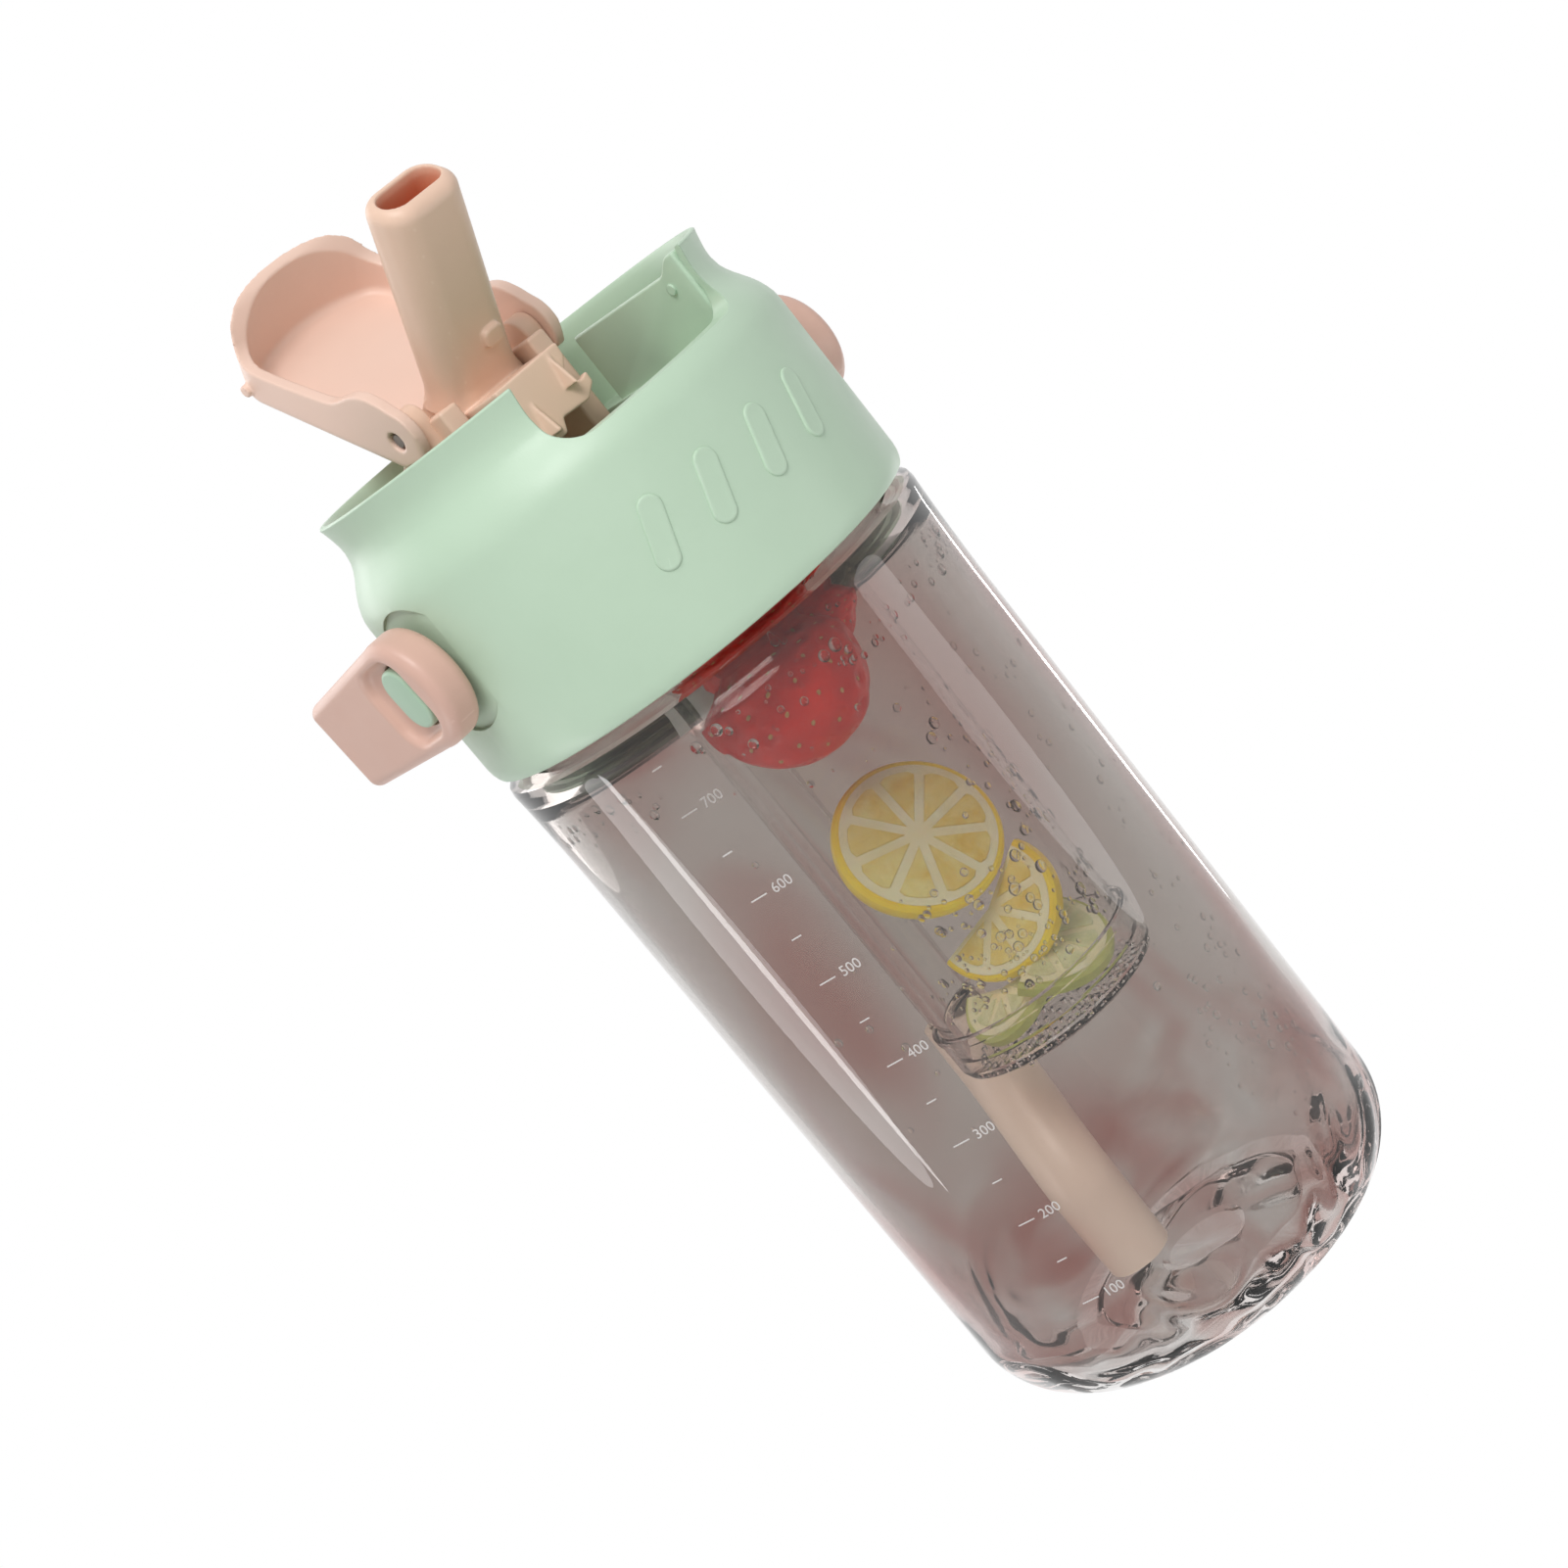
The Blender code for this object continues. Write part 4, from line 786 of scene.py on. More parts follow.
def make_lid():
    shell = lathe("lid_casing", lid_profile(), 192)
    reach = 2 * RIM_R
    notch = [(NOTCH_HALF, reach * 3)]
    notch += arc((NOTCH_HALF - NOTCH_FILLET, NOTCH_Z + NOTCH_FILLET), NOTCH_FILLET, 0, -90, 12)
    notch += mirrored(notch)[::-1]
    low = (-DECK_CUT_HALF, DECK_CUT_FRONT, DECK_Z - 3 * DECK_THICK)
    high = (DECK_CUT_HALF, DECK_CUT_BACK, DECK_Z + DECK_THICK)
    cut(shell, prism("notch_cutter", notch, "Y", -reach, CHANNEL_RISE_Y), box("deck_cutter", low, high))
    stud_in, stud_out = LID_R - LID_WALL + 0.5 * MM, STUD_HEAD_X + STUD_HEAD / 2
    head_out = STUD_HEAD_X + STUD_HEAD
    dimple_y, dimple_z = CHANNEL_RISE_Y - 1.5 * MM, RIM_Z - 5.5 * MM
    for place in (-1, 1):
        ends = sorted((place * CHANNEL_HALF, place * (CHANNEL_HALF + CHANNEL_WALL)))
        join(shell, soft_prism("channel_wall", channel_side(), "X", *ends, 0.5 * MM, 4))
        cut(shell, peg("spotface", place, SPOTFACE_X, LID_R + 9 * MM, 0, STRAP_Z, SPOTFACE_R, 72))
        stud = peg("stud", place, stud_in, stud_out, 0, STRAP_Z, STUD_R)
        join(shell, stud, peg("stud_head", place, STUD_HEAD_X, head_out, 0, STRAP_Z, STUD_HEAD_R))
        inner, outer = CHANNEL_HALF - 0.4 * MM, CHANNEL_HALF + MM
        join(shell, peg("dimple", place, inner, outer, dimple_y, dimple_z, MM))
    finish(shell, MINT, "lid", ["lid_shell"])
    for i, angle in enumerate(OVAL_ANGLES):
        finish(oval_pad(f"oval_pad_{i}", angle), MINT, "lid", sharp=180.0)


# Flip cover


def cover_plan(inset, back, corner):
    """The cover seen from above: straight sides, round corners and a gently bowed front."""
    half, front, bow = COVER_HALF - inset, COVER_LENGTH - inset, COVER_BOW_R - inset
    rise = sqrt((bow - corner) ** 2 - (half - corner) ** 2)
    corner_y = front - bow + rise
    meet = degrees(atan2(rise, half - corner))
    found = [(half, back)] + arc((half - corner, corner_y), corner, 0, meet, 12)
    found += arc((0, front - bow), bow, meet, 90, 8)[1:]
    return found + mirrored(found[:-1])[::-1]


def cover_edge():
    """The cover's side view: round ear, S-step, long straight rim, and the front wall's lip."""
    rim = near(0, 0, (0.8, 6.4), (3, 7), (6.5, 7.2), (10, 6), (13.5, 3.5), (16, 2.2), (20, 1.8))
    rim += near(COVER_LENGTH, 0, (-19, 1.2), (-11, 0.9), (-7, 2.2), (-4.6, 6))
    rim += near(COVER_LENGTH, COVER_LIP, (-2.2, -0.1), (1, 0))
    edge = arc((0, 0), EAR_R, 195, 100, 16) + eased(rim, 3)
    edge += near(COVER_LENGTH, COVER_LIP, (9, 0)) + near(COVER_LENGTH, -COVER_TOP, (9, -9))
    return edge + near(COVER_BACK, -COVER_TOP, (-2, -9), (-2, 0)) + near(0, -EAR_R, (1, -0.2))


def make_cover():
    turn = Matrix.Translation(HINGE) @ spin("X", COVER_OPEN)
    far, inner = 2 * COVER_LENGTH, COVER_HALF - COVER_WALL
    plan = cover_plan(0, -EAR_R - MM, COVER_CORNER)
    cover = soft_prism("cover_dish", plan, "Z", -COVER_TOP, COVER_LIP + 4 * MM, COVER_EDGE, 7, turn)
    plan = cover_plan(COVER_WALL, -4 * EAR_R, COVER_CORNER - 1.5 * MM)
    cut(cover, soft_prism("hollow_cutter", plan, "Z", 2 * MM - COVER_TOP, far, 1.6 * MM, 6, turn))
    shy = inner - 0.02 * MM
    cut(cover, box("back_cutter", (-shy, -4 * EAR_R, -far), (shy, COVER_BACK, far), turn))
    combined(cover, "INTERSECT", prism("cover_side", cover_edge(), "X", -far, far, turn))
    nub_in, nub_out = COVER_HALF - MM, COVER_HALF + 0.9 * MM
    for place in (-1, 1):
        cut(cover, peg("ear_bore", place, inner * 0.8, 30 * MM, 0, 0, PIN_R * 1.5, turn=turn))
        join(cover, peg("nub", place, nub_in, nub_out, NUB_ALONG, -COVER_TOP / 2, 1.2 * MM, turn=turn))
    soften(cover, 0.25 * MM, 9)
    finish(cover, PINK, "cover", ["flip_cover"], sharp=60.0)


# Spout


def make_spout():
    turn = Matrix.Translation(PIVOT) @ spin("X", 90 - SPOUT_RAISED)
    half_w, half_d, y, z = SPOUT_W / 2, SPOUT_D / 2, PIVOT.y, PIVOT.z
    outline = rounded_box(half_w, half_d, SPOUT_CORNER, 14)
    spout = soft_prism("mouthpiece", outline, "Z", 0, SPOUT_REACH, SPOUT_LIP, 7, turn)
    skirt = []
    for share in shares(8):
        grow = (1 - share) ** 2 * MM
        outline = rounded_box(half_w + 0.7 * grow, half_d + 1.6 * grow, SPOUT_CORNER + 0.6 * grow, 14)
        skirt.append(placed(outline, 2.6 * MM + 5.5 * MM * share, turn))
    join(spout, skin("skirt", skirt), peg("drum", 1, -half_w, half_w, y, z, DRUM_R, 96))
    join(spout, peg("trunnion", 1, -TRUNNION_REACH, TRUNNION_REACH, y, z, TRUNNION_R))
    join(spout, *apron_pieces())
    nub = [(u + 2.6 * MM, v + 14.0 * MM) for u, v in rounded_box(2.2 * MM, 1.9 * MM, 1.3 * MM, 8)]
    join(spout, soft_prism("nub", nub, "Y", -half_d - 1.2 * MM, -half_d + 1.5 * MM, 0.6 * MM, 4, turn))
    mouth = rounded_box(MOUTH_W / 2, MOUTH_D / 2, MOUTH_D / 2 - 0.1 * MM, 14)
    low, high = SPOUT_REACH - MOUTH_DEPTH, SPOUT_REACH
    bore = [placed(mouth, low, turn, 0.9, 0.9), placed(mouth, high - 5 * MM, turn, 0.97, 0.97)]
    bore += [placed(mouth, high - 1.6 * MM, turn), placed(mouth, high - 0.5 * MM, turn, 1.03, 1.06)]
    bore += [placed(mouth, high + 1.5 * MM, turn, 1.14, 1.28)]
    bore_low, bore_high = turn @ Vector((0, 0, -2 * DRUM_R)), turn @ Vector((0, 0, low + 2 * MM))
    cut(spout, skin("mouth_cutter", bore), rod("bore_cutter", bore_low, bore_high, BORE_R))
    soften(spout, 0.24 * MM, 6)
    finish(spout, TAN, "spout", ["spout"], sharp=60.0)


def placed(outline, z, turn, grow_u=1.0, grow_v=1.0):
    """A level outline at a height, grown by a share and then turned into place."""
    return [turn @ Vector((u * grow_u, v * grow_v, z)) for u, v in outline]


def apron_pieces():
    """The plate below the spout: stepped edge, hook at its right, two wedges and the shelf behind."""
    wide, foot, top = SPOUT_W / 2 - 0.1 * MM, APRON_FOOT_Z, PIVOT.z
    plate = [(-wide, foot)] + near(0, foot, (-1.6, 0), (-0.4, 2.4), (5.8, 1.9), (8.6, 3.8), (8.7, 6))
    plate += near(0, foot, (7.1, 5.4), (5.2, 5.9), (5.6, 8.4), (7.2, 10.2))
    plate += [(wide - 0.6 * MM, top), (-wide, top)]
    back = APRON_Y + APRON_THICK
    found = [soft_prism("apron", plate, "Y", APRON_Y, back, 0.3 * MM, 3)]
    shelf_low = (-wide + 0.1 * MM, back - 0.5 * MM, top - 2.4 * MM)
    found.append(box("shelf", shelf_low, (wide - 0.7 * MM, PIVOT.y - 4 * MM, top - 0.1 * MM)))
    inner, thin = APRON_Y + 0.6 * MM, 0.25 * MM
    for x, drop, half in ((-3.9 * MM, 5.0 * MM, 1.9 * MM), (4.4 * MM, 0.5 * MM, 1.4 * MM)):
        rings = []
        for share in shares(2):
            z, out = top - drop - 6.8 * MM * share, APRON_Y - 2.6 * MM * share
            wing = 0.3 * MM + half * share
            outline = [(x - wing, inner), (x + wing, inner), (x + thin, out), (x - thin, out)]
            rings.append(placed(outline, z, NO_TURN))
        found.append(skin("wedge", rings))
    return found


def make_carrier():
    """The block that the spout turns in, with a rounded cheek on each side and the stem below."""
    y, z = PIVOT.y, PIVOT.z
    cheek = [(CHEEK_FRONT, CARRIER_Z), (CHEEK_BACK, CARRIER_Z)]
    cheek += near(CHEEK_BACK, BLOCK_TOP_Z, (0, -3.5), (-3, 0))
    cheek += arc((HINGE.y, HINGE.z), CHEEK_TOP_R, -25, 188, 24) + near(CHEEK_FRONT, HINGE.z, (0, -3))
    ledge = [(LEDGE_FRONT, CARRIER_Z), (CHEEK_BACK - MM, CARRIER_Z)]
    ledge += near(CHEEK_BACK, BLOCK_TOP_Z, (-1, -4)) + near(y, z, (3.4, 2.9))
    ledge += near(LEDGE_FRONT, z, (0, 2.9))
    carrier = soft_prism("spout_block", cheek, "X", -CHEEK_OUT, -LUG_IN, 0.6 * MM, 4, sharp=40)
    join(carrier, soft_prism("cheek", cheek, "X", LUG_IN, CHEEK_OUT, 0.6 * MM, 4, sharp=40))
    for place in (-1, 1):
        ends = sorted((place * CHEEK_IN, place * (LUG_IN + MM)))
        join(carrier, soft_prism("ledge", ledge, "X", *ends, 0.7 * MM, 4, sharp=40))
    back = CHEEK_BACK - 0.4 * MM
    block = [(BLOCK_FRONT, CARRIER_Z), (back, CARRIER_Z)] + near(back, BLOCK_TOP_Z, (0, -3.9), (-2.8, -0.4))
    block += near(BLOCK_FRONT, BLOCK_TOP_Z, (0, -0.4))
    join(carrier, prism("block", block, "X", -CHEEK_IN - MM, CHEEK_IN + MM))
    join(carrier, rod("stem", (0, STEM_Y, STEM_END_Z), (0, STEM_Y, CARRIER_Z + 2 * MM), STEM_R))
    seat, trunnion = CHEEK_IN - 0.2 * MM, TRUNNION_REACH + GAP
    cut(carrier, peg("seat", 1, -seat, seat, y, z, DRUM_R + 0.4 * MM, 72))
    cut(carrier, peg("trunnion_bore", 1, -trunnion, trunnion, y, z, TRUNNION_R + GAP))
    stem_low, stem_high = (0, STEM_Y, STEM_END_Z - 5 * MM), (0, STEM_Y, BLOCK_TOP_Z - 2.6 * MM)
    cut(carrier, rod("stem_bore", stem_low, stem_high, STEM_BORE_R))
    angle = radians(SPOUT_RAISED)
    down = Vector((0, cos(angle), -sin(angle)))
    pocket = rod("seal_pocket", PIVOT, PIVOT + down * POCKET_END, POCKET_R)
    cut(carrier, rod("port", PIVOT, PIVOT + down * 9 * MM, BORE_R), pocket)
    pin_in, pin_out = LUG_IN + 0.2 * MM, CHEEK_OUT + 5 * MM
    for place in (-1, 1):
        cut(carrier, peg("pin_bore", place, pin_in, pin_out, HINGE.y, HINGE.z, PIN_R + 0.1 * MM))
    finish(carrier, TAN, "lid", ["spout_carrier"])


# Straw and infuser


def make_straw():
    """Straight down from the top, across under the strainer, then straight down to the foot."""
    line = [Vector((0, STEM_Y, STRAW_TOP_Z))]
    for share in shares(24):
        y = STEM_Y + (STRAW_END.y - STEM_Y) * ease(share)
        z = STRAW_BEND_TOP + (STRAW_BEND_END - STRAW_BEND_TOP) * share
        line.append(Vector((STRAW_END.x * ease(share), y, z)))
    line.append(STRAW_END)
    rings = []
    for radius, lip, points in ((STRAW_R, 0.25 * MM, line), (STRAW_BORE_R, 0, line[::-1])):
        for point in points:
            reach = radius - (lip if point in (points[0], points[-1]) else 0)
            turns = [tau * k / 64 for k in range(64)]
            rings.append([point + Vector((reach * cos(a), reach * sin(a), 0)) for a in turns])
    straw = skin("long_straw", rings, closed=True)
    finish(straw, STRAW_PINK, "bottle", ["straw"])


def make_infuser():
    inner = INFUSER_R - INFUSER_WALL
    profile = near(inner, INFUSER_LOW, (0, 0.4), (0.4, 0))
    profile += near(INFUSER_R, INFUSER_LOW, (-0.4, 0), (0, 0.4))
    profile += near(INFUSER_R, INFUSER_HIGH, (0, -0.4), (-0.4, 0))
    profile += near(inner, INFUSER_HIGH, (0.4, 0), (0, -0.4))
    cup = lathe("infuser_tube", profile, centre_y=INFUSER_Y)
    finish(cup, CLEAR_CUP, "infuser", ["infuser_cup"])

    grip = INFUSER_R + GAP
    outer, floor_top = grip + STRAINER_WALL, STRAINER_LOW + STRAINER_FLOOR
    profile = [(0, floor_top)] + near(grip, floor_top, (-0.6, 0), (0, 0.6))
    profile += near(grip, STRAINER_HIGH, (0, -0.3), (0.3, 0))
    profile += near(outer, STRAINER_HIGH, (-0.3, 0), (0, -0.3), (0, -1.6), (-0.35, -2))
    profile += near(outer, STRAINER_LOW, (-0.35, 1.9), (-0.9, 0.6), (-1.9, 0)) + [(0, STRAINER_LOW)]
    strainer = lathe("strainer_basket", profile, centre_y=INFUSER_Y)
    cut(strainer, fine_holes())
    finish(strainer, CLEAR_CUP, "strainer", ["infuser_strainer"])


def fine_holes():
    """The strainer's fine holes, in rings through its floor."""
    bm = bmesh.new()
    floor_z = STRAINER_LOW + STRAINER_FLOOR / 2
    for row in range(1, HOLE_RINGS + 1):
        radius, count = HOLE_PITCH * row, 6 * row
        for i in range(count):
            angle = tau * (i + 0.37 * row) / count
            spot = Vector((radius * cos(angle), INFUSER_Y + radius * sin(angle), floor_z))
            add_cylinder(bm, 10, HOLE_R, 3 * STRAINER_FLOOR, Matrix.Translation(spot))
    return obj_from("strainer_holes", bm)


# Strap ends


def make_strap_end(hand, place):
    turn = Matrix.Translation((0, 0, STRAP_Z)) @ spin("X", -STRAP_DROOP)
    tip = (STRAP_TIP - STRAP_CORNER, STRAP_TIP_HALF - STRAP_CORNER)
    outline = arc((0, 0), STRAP_R, 80, 280, 40) + arc((tip[0], -tip[1]), STRAP_CORNER, -90, 0, 8)
    outline += arc(tip, STRAP_CORNER, 0, 90, 8)
    ends = sorted((place * STRAP_IN, place * STRAP_OUT))
    end = soft_prism("strap_loop_" + hand, outline, "X", *ends, STRAP_EDGE, 9, turn)
    cut(end, dish_cutter(place, turn))
    cavity_in, cavity_out = STUD_HEAD_X - GAP, DISH_FLOOR_X - DISH_WALL
    cut(end, peg("cavity", place, cavity_in, cavity_out, 0, STRAP_Z, BUTTON_FLANGE_R + GAP, 64))
    hole = rounded_box(BUTTON_HALF_Y + GAP, BUTTON_HALF_Z + GAP, BUTTON_HALF_Y + GAP - 0.1 * MM, 14)
    ends = sorted((place * (cavity_out - GAP), place * 2 * STRAP_OUT))
    cut(end, prism("button_hole", hole, "X", *ends, turn))
    cut(end, peg("stud_bore", place, STRAP_IN - 7 * MM, cavity_in + GAP, 0, STRAP_Z, STUD_R + GAP, 64))
    middle = place * (STRAP_IN + STRAP_OUT) / 2
    low = (middle - STRAP_SLOT / 2, STRAP_TIP - STRAP_SLOT_DEPTH, -STRAP_SLOT_HALF)
    high = (middle + STRAP_SLOT / 2, STRAP_TIP + 9 * MM, STRAP_SLOT_HALF)
    cut(end, box("strap_slot", low, high, turn))
    soften(end, 0.26 * MM, 4)
    finish(end, STRAP_PINK, "strap_" + hand, ["strap_end_" + hand], sharp=60.0)

    face = rounded_box(BUTTON_HALF_Y, BUTTON_HALF_Z, BUTTON_HALF_Y - 0.1 * MM, 14)
    flange = cavity_out - GAP
    ends = sorted((place * (flange - BUTTON_FLANGE / 2), place * BUTTON_OUT_X))
    button = soft_prism("release_button_" + hand, face, "X", *ends, 0.7 * MM, 5, turn)
    join(button, peg("flange", place, flange - BUTTON_FLANGE, flange, 0, STRAP_Z, BUTTON_FLANGE_R, 64))
    finish(button, BUTTON_MINT, "button_" + hand, ["strap_button_" + hand])


def dish_cutter(place, turn):
    """Widens outwards, so the finger dish has a sloping wall and a soft lip."""
    outline = rounded_box((DISH_BACK + DISH_FRONT) / 2, DISH_HALF_Z, DISH_CORNER, 12)
    outline = [(y + (DISH_BACK - DISH_FRONT) / 2, z) for y, z in outline]
    rings = []
    for grow, x in DISH_STEPS:
        far = place * (DISH_FLOOR_X + x * MM)
        rings.append([turn @ Vector((far, y * grow, z * grow)) for y, z in outline])
    return skin("dish_cutter", rings)


# Fruit in the infuser


def strawberry(name, centre, size, tilt, seed):
    """A strawberry: heart-shaped body with sunk seeds all over it."""
    chance = random.Random(seed)
    bm = bmesh.new()
    bmesh.ops.create_icosphere(bm, subdivisions=5, radius=1.0)
    seeds = []
    golden = pi * (3 - sqrt(5))
    for i in range(BERRY_SEEDS):
        z = 1 - 2 * (i + 0.5) / BERRY_SEEDS
        ring = sqrt(1 - z * z)
        seeds.append(Vector((ring * cos(golden * i), ring * sin(golden * i), z)))
    lumps = [(Vector([chance.uniform(-1, 1) for _ in range(3)]).normalized(), chance.uniform(-0.05, 0.07))
             for _ in range(12)]
    for v in bm.verts:
        v.co = strawberry_skin(v.co.normalized(), seeds, lumps)
    turn = Matrix.Translation(centre) @ spin("Z", tilt[1]) @ spin("X", tilt[0]) @ Matrix.Scale(size, 4)
    bm.transform(turn)
    finish(obj_from(name, bm), BERRY, "infuser", sharp=180.0)
    grains = bmesh.new()
    for seed_place in seeds:
        spot = strawberry_skin(seed_place, seeds, lumps)
        lay = seed_place.to_track_quat("Z", "Y").to_matrix().to_4x4()
        where = turn @ Matrix.Translation(spot) @ lay @ Matrix.Diagonal((0.030, 0.050, 0.028, 1.0))
        bmesh.ops.create_icosphere(grains, subdivisions=2, radius=1.0, matrix=where)
    finish(obj_from(name + "_seeds", grains), SEED, "infuser", sharp=180.0)


def strawberry_skin(way, seeds, lumps):
    """Where the strawberry's skin lies along a direction, for a berry about one unit in radius."""
    nearest = max(way.dot(seed) for seed in seeds)
    pit = max(0.0, 1 - acos(min(1.0, nearest)) / 0.13)
    radius = 1.0 - 0.055 * ease(pit)
    for lump, height in lumps:
        radius += height * max(0.0, way.dot(lump)) ** 3
    taper = 1.0 - 0.30 * max(0.0, -way.z) - 0.05 * max(0.0, way.z)
    dent = 0.22 * max(0.0, way.z - 0.8)
    return Vector((way.x * radius * taper, way.y * radius * taper, way.z * radius * 1.18 - dent))


def citrus(name, place, radius, thick, rind, pulp, first=0.0, span=360.0, dome=None):
    """A slice of citrus, whole or a wedge, or a cut end with its domed rind: rind and raised segments."""
    half, rise = thick / 2, 0.15 * MM
    side = [(0.0, -half)] + near(radius, -half, (-0.7, 0), (-0.15, 0.5)) + [(radius, 0)]
    if dome is not None:
        side = [(radius * sin(a), -dome * cos(a)) for a in (k * pi / 24 for k in range(13))]
    side += near(radius, half, (-0.15, -0.5), (-0.7, 0)) + [(0.0, half)]
    finish(turned_slice(name + "_rind", side, place, first, span), rind, "infuser")
    cover, low = radius - 1.3 * MM, -half - rise if dome is None else 0.0
    side = [(0.0, low), (cover, low), (cover, half + rise), (0.0, half + rise)]
    finish(turned_slice(name + "_pith", side, place, first, span), PITH, "infuser")
    count = max(2, round(9 * span / 360))
    pieces = bmesh.new()
    for i in range(count):
        start = first + span * i / count
        wedge = segment_outline(radius - 2.6 * MM, radians(start), radians(span / count))
        middle = sum((Vector(p) for p in wedge), Vector((0, 0))) / len(wedge)
        raised = [middle + (Vector(p) - middle) * 0.86 for p in wedge]
        for sign in (1,) if dome else (-1, 1):
            base = [pieces.verts.new(p) for p in placed(wedge, sign * (half - 0.4 * MM), place)]
            top = [pieces.verts.new(p) for p in placed(raised, sign * (half + 0.45 * MM), place)]
            for k in range(len(wedge)):
                n = (k + 1) % len(wedge)
                pieces.faces.new((base[k], base[n], top[n], top[k]))
            pieces.faces.new(top)
            pieces.faces.new(base)
    finish(obj_from(name + "_pulp", pieces), pulp, "infuser", sharp=50.0)


def turned_slice(name, side, place, first, span):
    """A side view turned through an angle, all the way round or for a wedge."""
    steps, whole = max(12, int(span / 4)), span >= 360
    rings = []
    for i in range(steps if whole else steps + 1):
        angle = radians(first + span * i / steps)
        rings.append([place @ Vector((r * cos(angle), r * sin(angle), z)) for r, z in side])
    return merged(skin(name, rings, closed=whole))


def segment_outline(radius, start, width):
    """A citrus segment seen from above: a rounded wedge between two membranes."""
    low, high = start + width * 0.07, start + width * 0.93
    tip = 1.6 * MM
    middle = start + width / 2
    found = [(tip * cos(middle), tip * sin(middle))]
    for i in range(7):
        angle = low + (high - low) * i / 6
        reach = radius * (0.955 if i in (0, 6) else 1.0)
        found.append((reach * cos(angle), reach * sin(angle)))
    return found


def in_cup(side, towards, z):
    """A spot in mm: to the camera's right of the infuser's axis, towards the camera, and its height."""
    turn = radians(CAMERA_AZIMUTH)
    right = Vector((cos(turn), sin(turn), 0))
    closer = Vector((sin(turn), -cos(turn), 0))
    return Vector((0, INFUSER_Y, 0)) + (right * side + closer * towards + Vector((0, 0, z))) * MM


def make_fruit():
    for name, spot, size, tilt, seed in (
        ("strawberry_a", (-2.6, 2.2, 139.5), 15.0, (62, -12), 3),
        ("strawberry_b", (8.2, -3.0, 148.0), 9.4, (35, -60), 8),
        ("strawberry_c", (-4.6, 1.0, 156.0), 8.4, (-30, 70), 5),
    ):
        strawberry(name, in_cup(*spot), size * MM, tilt, seed)
    lemon, lime = (LEMON_RIND, LEMON_PULP), (LIME_RIND, LIME_PULP)
    for name, spot, facing, radius, thick, looks, *cut_out in (
        ("lemon", (-1.0, 1.0, 103.0), (CAMERA_AZIMUTH + 28, 64), 15.4, 2.4, lemon, 0, 360, 9.0 * MM),
        ("lemon_slice", (1.5, 0.5, 84.0), (-55, 60), 13.0, 3.6, lemon, 200, 200),
        ("lime", (4.0, 2.0, 73.5), (10, 38), 12.6, 2.8, lime, 190, 200),
        ("lime_slice", (-5.5, 1.0, 70.5), (-70, 30), 10.0, 2.6, lime, 170, 200),
    ):
        place = Matrix.Translation(in_cup(*spot)) @ spin("Z", facing[0]) @ spin("X", facing[1])
        citrus(name, place, radius * MM, thick * MM, *looks, *cut_out)


# Printed scale


def printed(name, verts_faces):
    """Flat print bent onto the bottle's side: (across, height) points and their faces."""
    bm = bmesh.new()
    for points, faces in verts_faces:
        made = []
        for across, height in points:
            made.append(bm.verts.new(on_wall(PRINT_R, radians(SCALE_ANGLE) + across / PRINT_R, height)))
        for face in faces:
            bm.faces.new([made[i] for i in face])
    obj = obj_from(name, bm)
    modify(obj, "SOLIDIFY", thickness=0.02 * MM, offset=1.0)
    return baked(obj)


def number_mesh(text):
    """A number's flat outline as points and faces, centred on its own height."""
    curve = bpy.data.curves.new("number", "FONT")
    curve.body = text
    curve.size = SCALE_TEXT
    curve.align_x = "LEFT"
    curve.align_y = "CENTER"
    curve.resolution_u = 3
    guide = add_object("number", curve)
    bpy.context.view_layer.update()
    mesh = bpy.data.meshes.new_from_object(guide.evaluated_get(bpy.context.evaluated_depsgraph_get()))
    points = [(v.co.x, v.co.y) for v in mesh.vertices]
    faces = [tuple(p.vertices) for p in mesh.polygons]
    bpy.data.objects.remove(guide, do_unlink=True)
    bpy.data.meshes.remove(mesh)
    return points, faces


def level(volume):
    return SCALE_FLOOR_Z + volume / BORE_AREA


def make_scale():
    """Plain numbers and ticks at the height where the bottle holds that many millilitres."""
    shapes = []
    for i in range(SCALE_FIRST, SCALE_LAST + 1):
        z = level(i * SCALE_STEP)
        points, faces = number_mesh(str(round(i * SCALE_STEP / LITRE * 1000)))
        shapes.append(([(u, v + z) for u, v in points], faces))
        shapes += [tick(z, SCALE_TICK), tick(level((i + 0.5) * SCALE_STEP), SCALE_TICK * 0.6)]
    finish(printed("printed_scale", shapes), PRINT_WHITE, "bottle", sharp=30.0)


def tick(z, length):
    left, right, half = -1.2 * MM - length, -1.2 * MM, SCALE_LINE / 2
    points = [(left, z - half), (right, z - half), (right, z + half), (left, z + half)]
    return points, [(0, 1, 2, 3)]


# Drops and bubbles


def drops_on(name, radius, centre_y, spots, inside, body):
    """Small domes of water on a round wall, each a squashed ball sunk into its surface."""
    bm = bmesh.new()
    sink = -0.12 if inside else 0.12
    for angle, z, size in spots:
        way = on_wall(1.0, radians(angle), 0)
        middle = Vector((0, centre_y, z)) + way * (radius + sink * size)
        lay = way.to_track_quat("Z", "Y").to_matrix().to_4x4()
        shape = Matrix.Diagonal((size, size * 1.12, size * 0.55, 1.0))
        where = Matrix.Translation(middle) @ lay @ shape
        bmesh.ops.create_icosphere(bm, subdivisions=3, radius=1.0, matrix=where)
    finish(obj_from(name, bm), WATER, body, sharp=180.0)


def scattered(chance, count, angles, heights, sizes):
    found = []
    for _ in range(count):
        size = sizes[0] + (sizes[1] - sizes[0]) * chance.random() ** 2.2
        found.append((chance.uniform(*angles), chance.uniform(*heights), size))
    return found


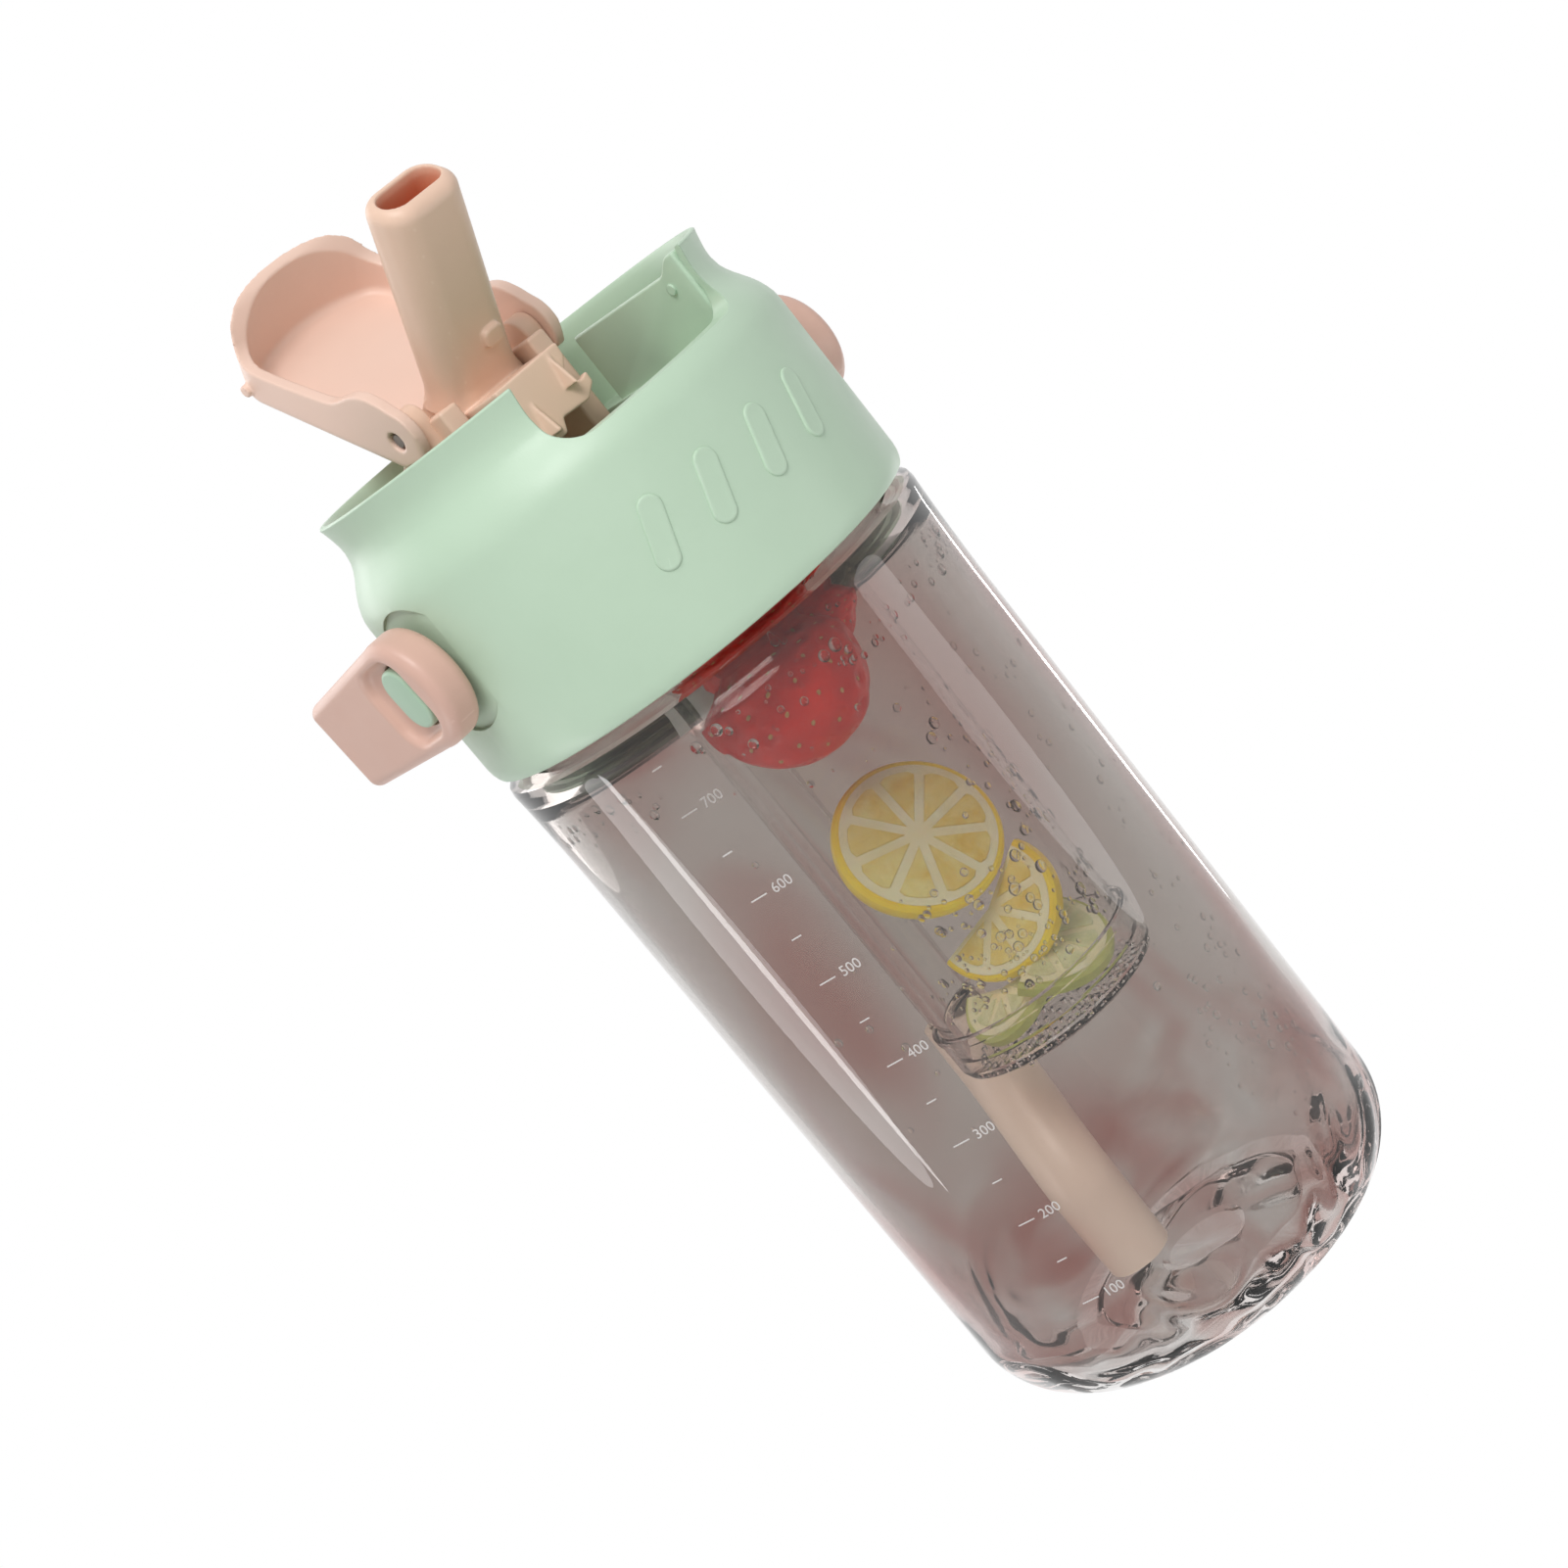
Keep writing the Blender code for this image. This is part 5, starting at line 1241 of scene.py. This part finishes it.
def make_drops():
    chance = random.Random(41)
    small, middling, big = 0.25 * MM, 0.8 * MM, 1.15 * MM
    wall = scattered(chance, 90, (-115, 60), (SHOULDER_Z - 15 * MM, SHOULDER_Z - 8 * MM), (small, big))
    wall += scattered(chance, 40, (-85, 25), (60 * MM, 138 * MM), (small, middling))
    wall += scattered(chance, 70, (0, 30), (26 * MM, 60 * MM), (small, middling))
    wall += scattered(chance, 40, (15, 50), (60 * MM, 120 * MM), (small, middling))
    drops_on("wall_bubbles", INNER_R, 0, wall, True, "bottle")
    cup = scattered(chance, 60, (0, 60), (88 * MM, 122 * MM), (small, big))
    cup += scattered(chance, 60, (-60, 20), (74 * MM, 96 * MM), (small, big))
    foot = (STRAINER_HIGH + 1.2 * MM, STRAINER_HIGH + 12 * MM)
    cup += scattered(chance, 110, (-90, 90), foot, (small, middling))
    cup += scattered(chance, 30, (-60, 60), (122 * MM, 150 * MM), (small, middling))
    drops_on("infuser_bubbles", INFUSER_R, INFUSER_Y, cup, False, "infuser")


# Stage, light and camera


def make_stage():
    bm = bmesh.new()
    corners = ((-1, -1), (1, -1), (1, 1), (-1, 1))
    bm.faces.new([bm.verts.new((x * FLOOR_HALF, y * FLOOR_HALF, 0)) for x, y in corners])
    floor = obj_from("floor", bm)
    n = new_material("floor_paper")
    n.out(Base_Color=(0.88, 0.88, 0.88, 1), Roughness=0.9, Specular_IOR_Level=0.1)
    glow = n.add("Emission", {"Color": WHITE})
    floor.data.materials.append(n.blend(n.background_rays(), n.shader, glow, "Material Output"))


def make_world():
    n = Nodes(bpy.data.worlds.new("studio"))
    bpy.context.scene.world = n.owner
    n.out(Color=WHITE, Strength=WORLD_LIGHT)
    seen = n.add("Background", {"Color": WHITE, "Strength": 1.0})
    n.blend(n.background_rays(), n.shader, seen, "World Output")


def area_light(name, location, target, size, power, shape="DISK"):
    data = bpy.data.lights.new(name, "AREA")
    data.shape, data.energy = shape, power
    if shape == "DISK":
        data.size = size
    else:
        data.size, data.size_y = size
    lamp = add_object(name, data)
    lamp.location = location
    lamp.rotation_euler = (Vector(target) - Vector(location)).to_track_quat("-Z", "Y").to_euler()
    return lamp


def strip_light(name, angle, distance, width, power):
    """A tall narrow lamp with pointed ends that only shows as a long streak in shiny walls."""
    spot = on_wall(distance, radians(angle), STRIP_MIDDLE)
    lamp = area_light(name, spot, (0, 0, STRIP_MIDDLE), (width, STRIP_HEIGHT), power, "ELLIPSE")
    lamp.visible_camera = False
    lamp.visible_diffuse = False
    lamp.visible_transmission = False


def make_camera():
    """The photograph's camera: it looks at the upright bottle from a little above, and is rolled."""
    data = bpy.data.cameras.new("photo_camera")
    data.sensor_width = SENSOR
    data.lens = FOCAL_PIXELS / PHOTO_PIXELS * SENSOR
    data.clip_start = 10 * MM
    camera = add_object("photo_camera", data)
    spot = spin("Z", CAMERA_AZIMUTH) @ Matrix.Translation((0, -CAMERA_DISTANCE, CAMERA_HEIGHT))
    aim = spin("Z", -CAMERA_YAW) @ spin("X", 90 - CAMERA_PITCH) @ spin("Z", CAMERA_ROLL)
    camera.matrix_world = spot @ aim
    bpy.context.scene.camera = camera


# The nodes that keep their CAD shape get a finish
for node, material in {
    "lid_liner": MINT_INNER,
    "lid_seal": SILICONE,
    "vent_valve": SILICONE,
    "hinge_pin_left": STEEL,
    "hinge_pin_right": STEEL,
    "spout_seal": SILICONE,
    "riser_tube": CLEAR_CUP,
    "riser_connector": SILICONE,
}.items():
    for slot in frame["nodes"][node].material_slots:
        slot.material = material

make_bottle()
make_lid()
make_cover()
make_spout()
make_carrier()
make_straw()
make_infuser()
for hand, place in (("left", -1), ("right", 1)):
    make_strap_end(hand, place)
make_fruit()
make_scale()
make_drops()
make_stage()
make_world()
area_light("key", (-0.44, -0.68, 1.06), (0, 0, 0.15), 0.6, 8.6)
area_light("fill", (0.8, -0.5, 0.5), (0, 0, 0.12), 0.9, 0.25)
area_light("back", (-0.2, 0.9, 0.6), (0, 0, 0.15), 0.8, 2.6)
area_light("top", (-0.40, -0.20, 1.15), (0, 0, 0.2), 0.4, 1.6)
strip_light("streak_left", -104.0, 170 * MM, 9 * MM, 0.020)
strip_light("glow_left", -110.0, 175 * MM, 60 * MM, 0.055)
strip_light("streak_right", 104.0, 170 * MM, 10 * MM, 0.026)
strip_light("band_right", 39.0, 230 * MM, 90 * MM, 0.06)
make_camera()

bpy.context.scene.view_settings.view_transform = "Standard"
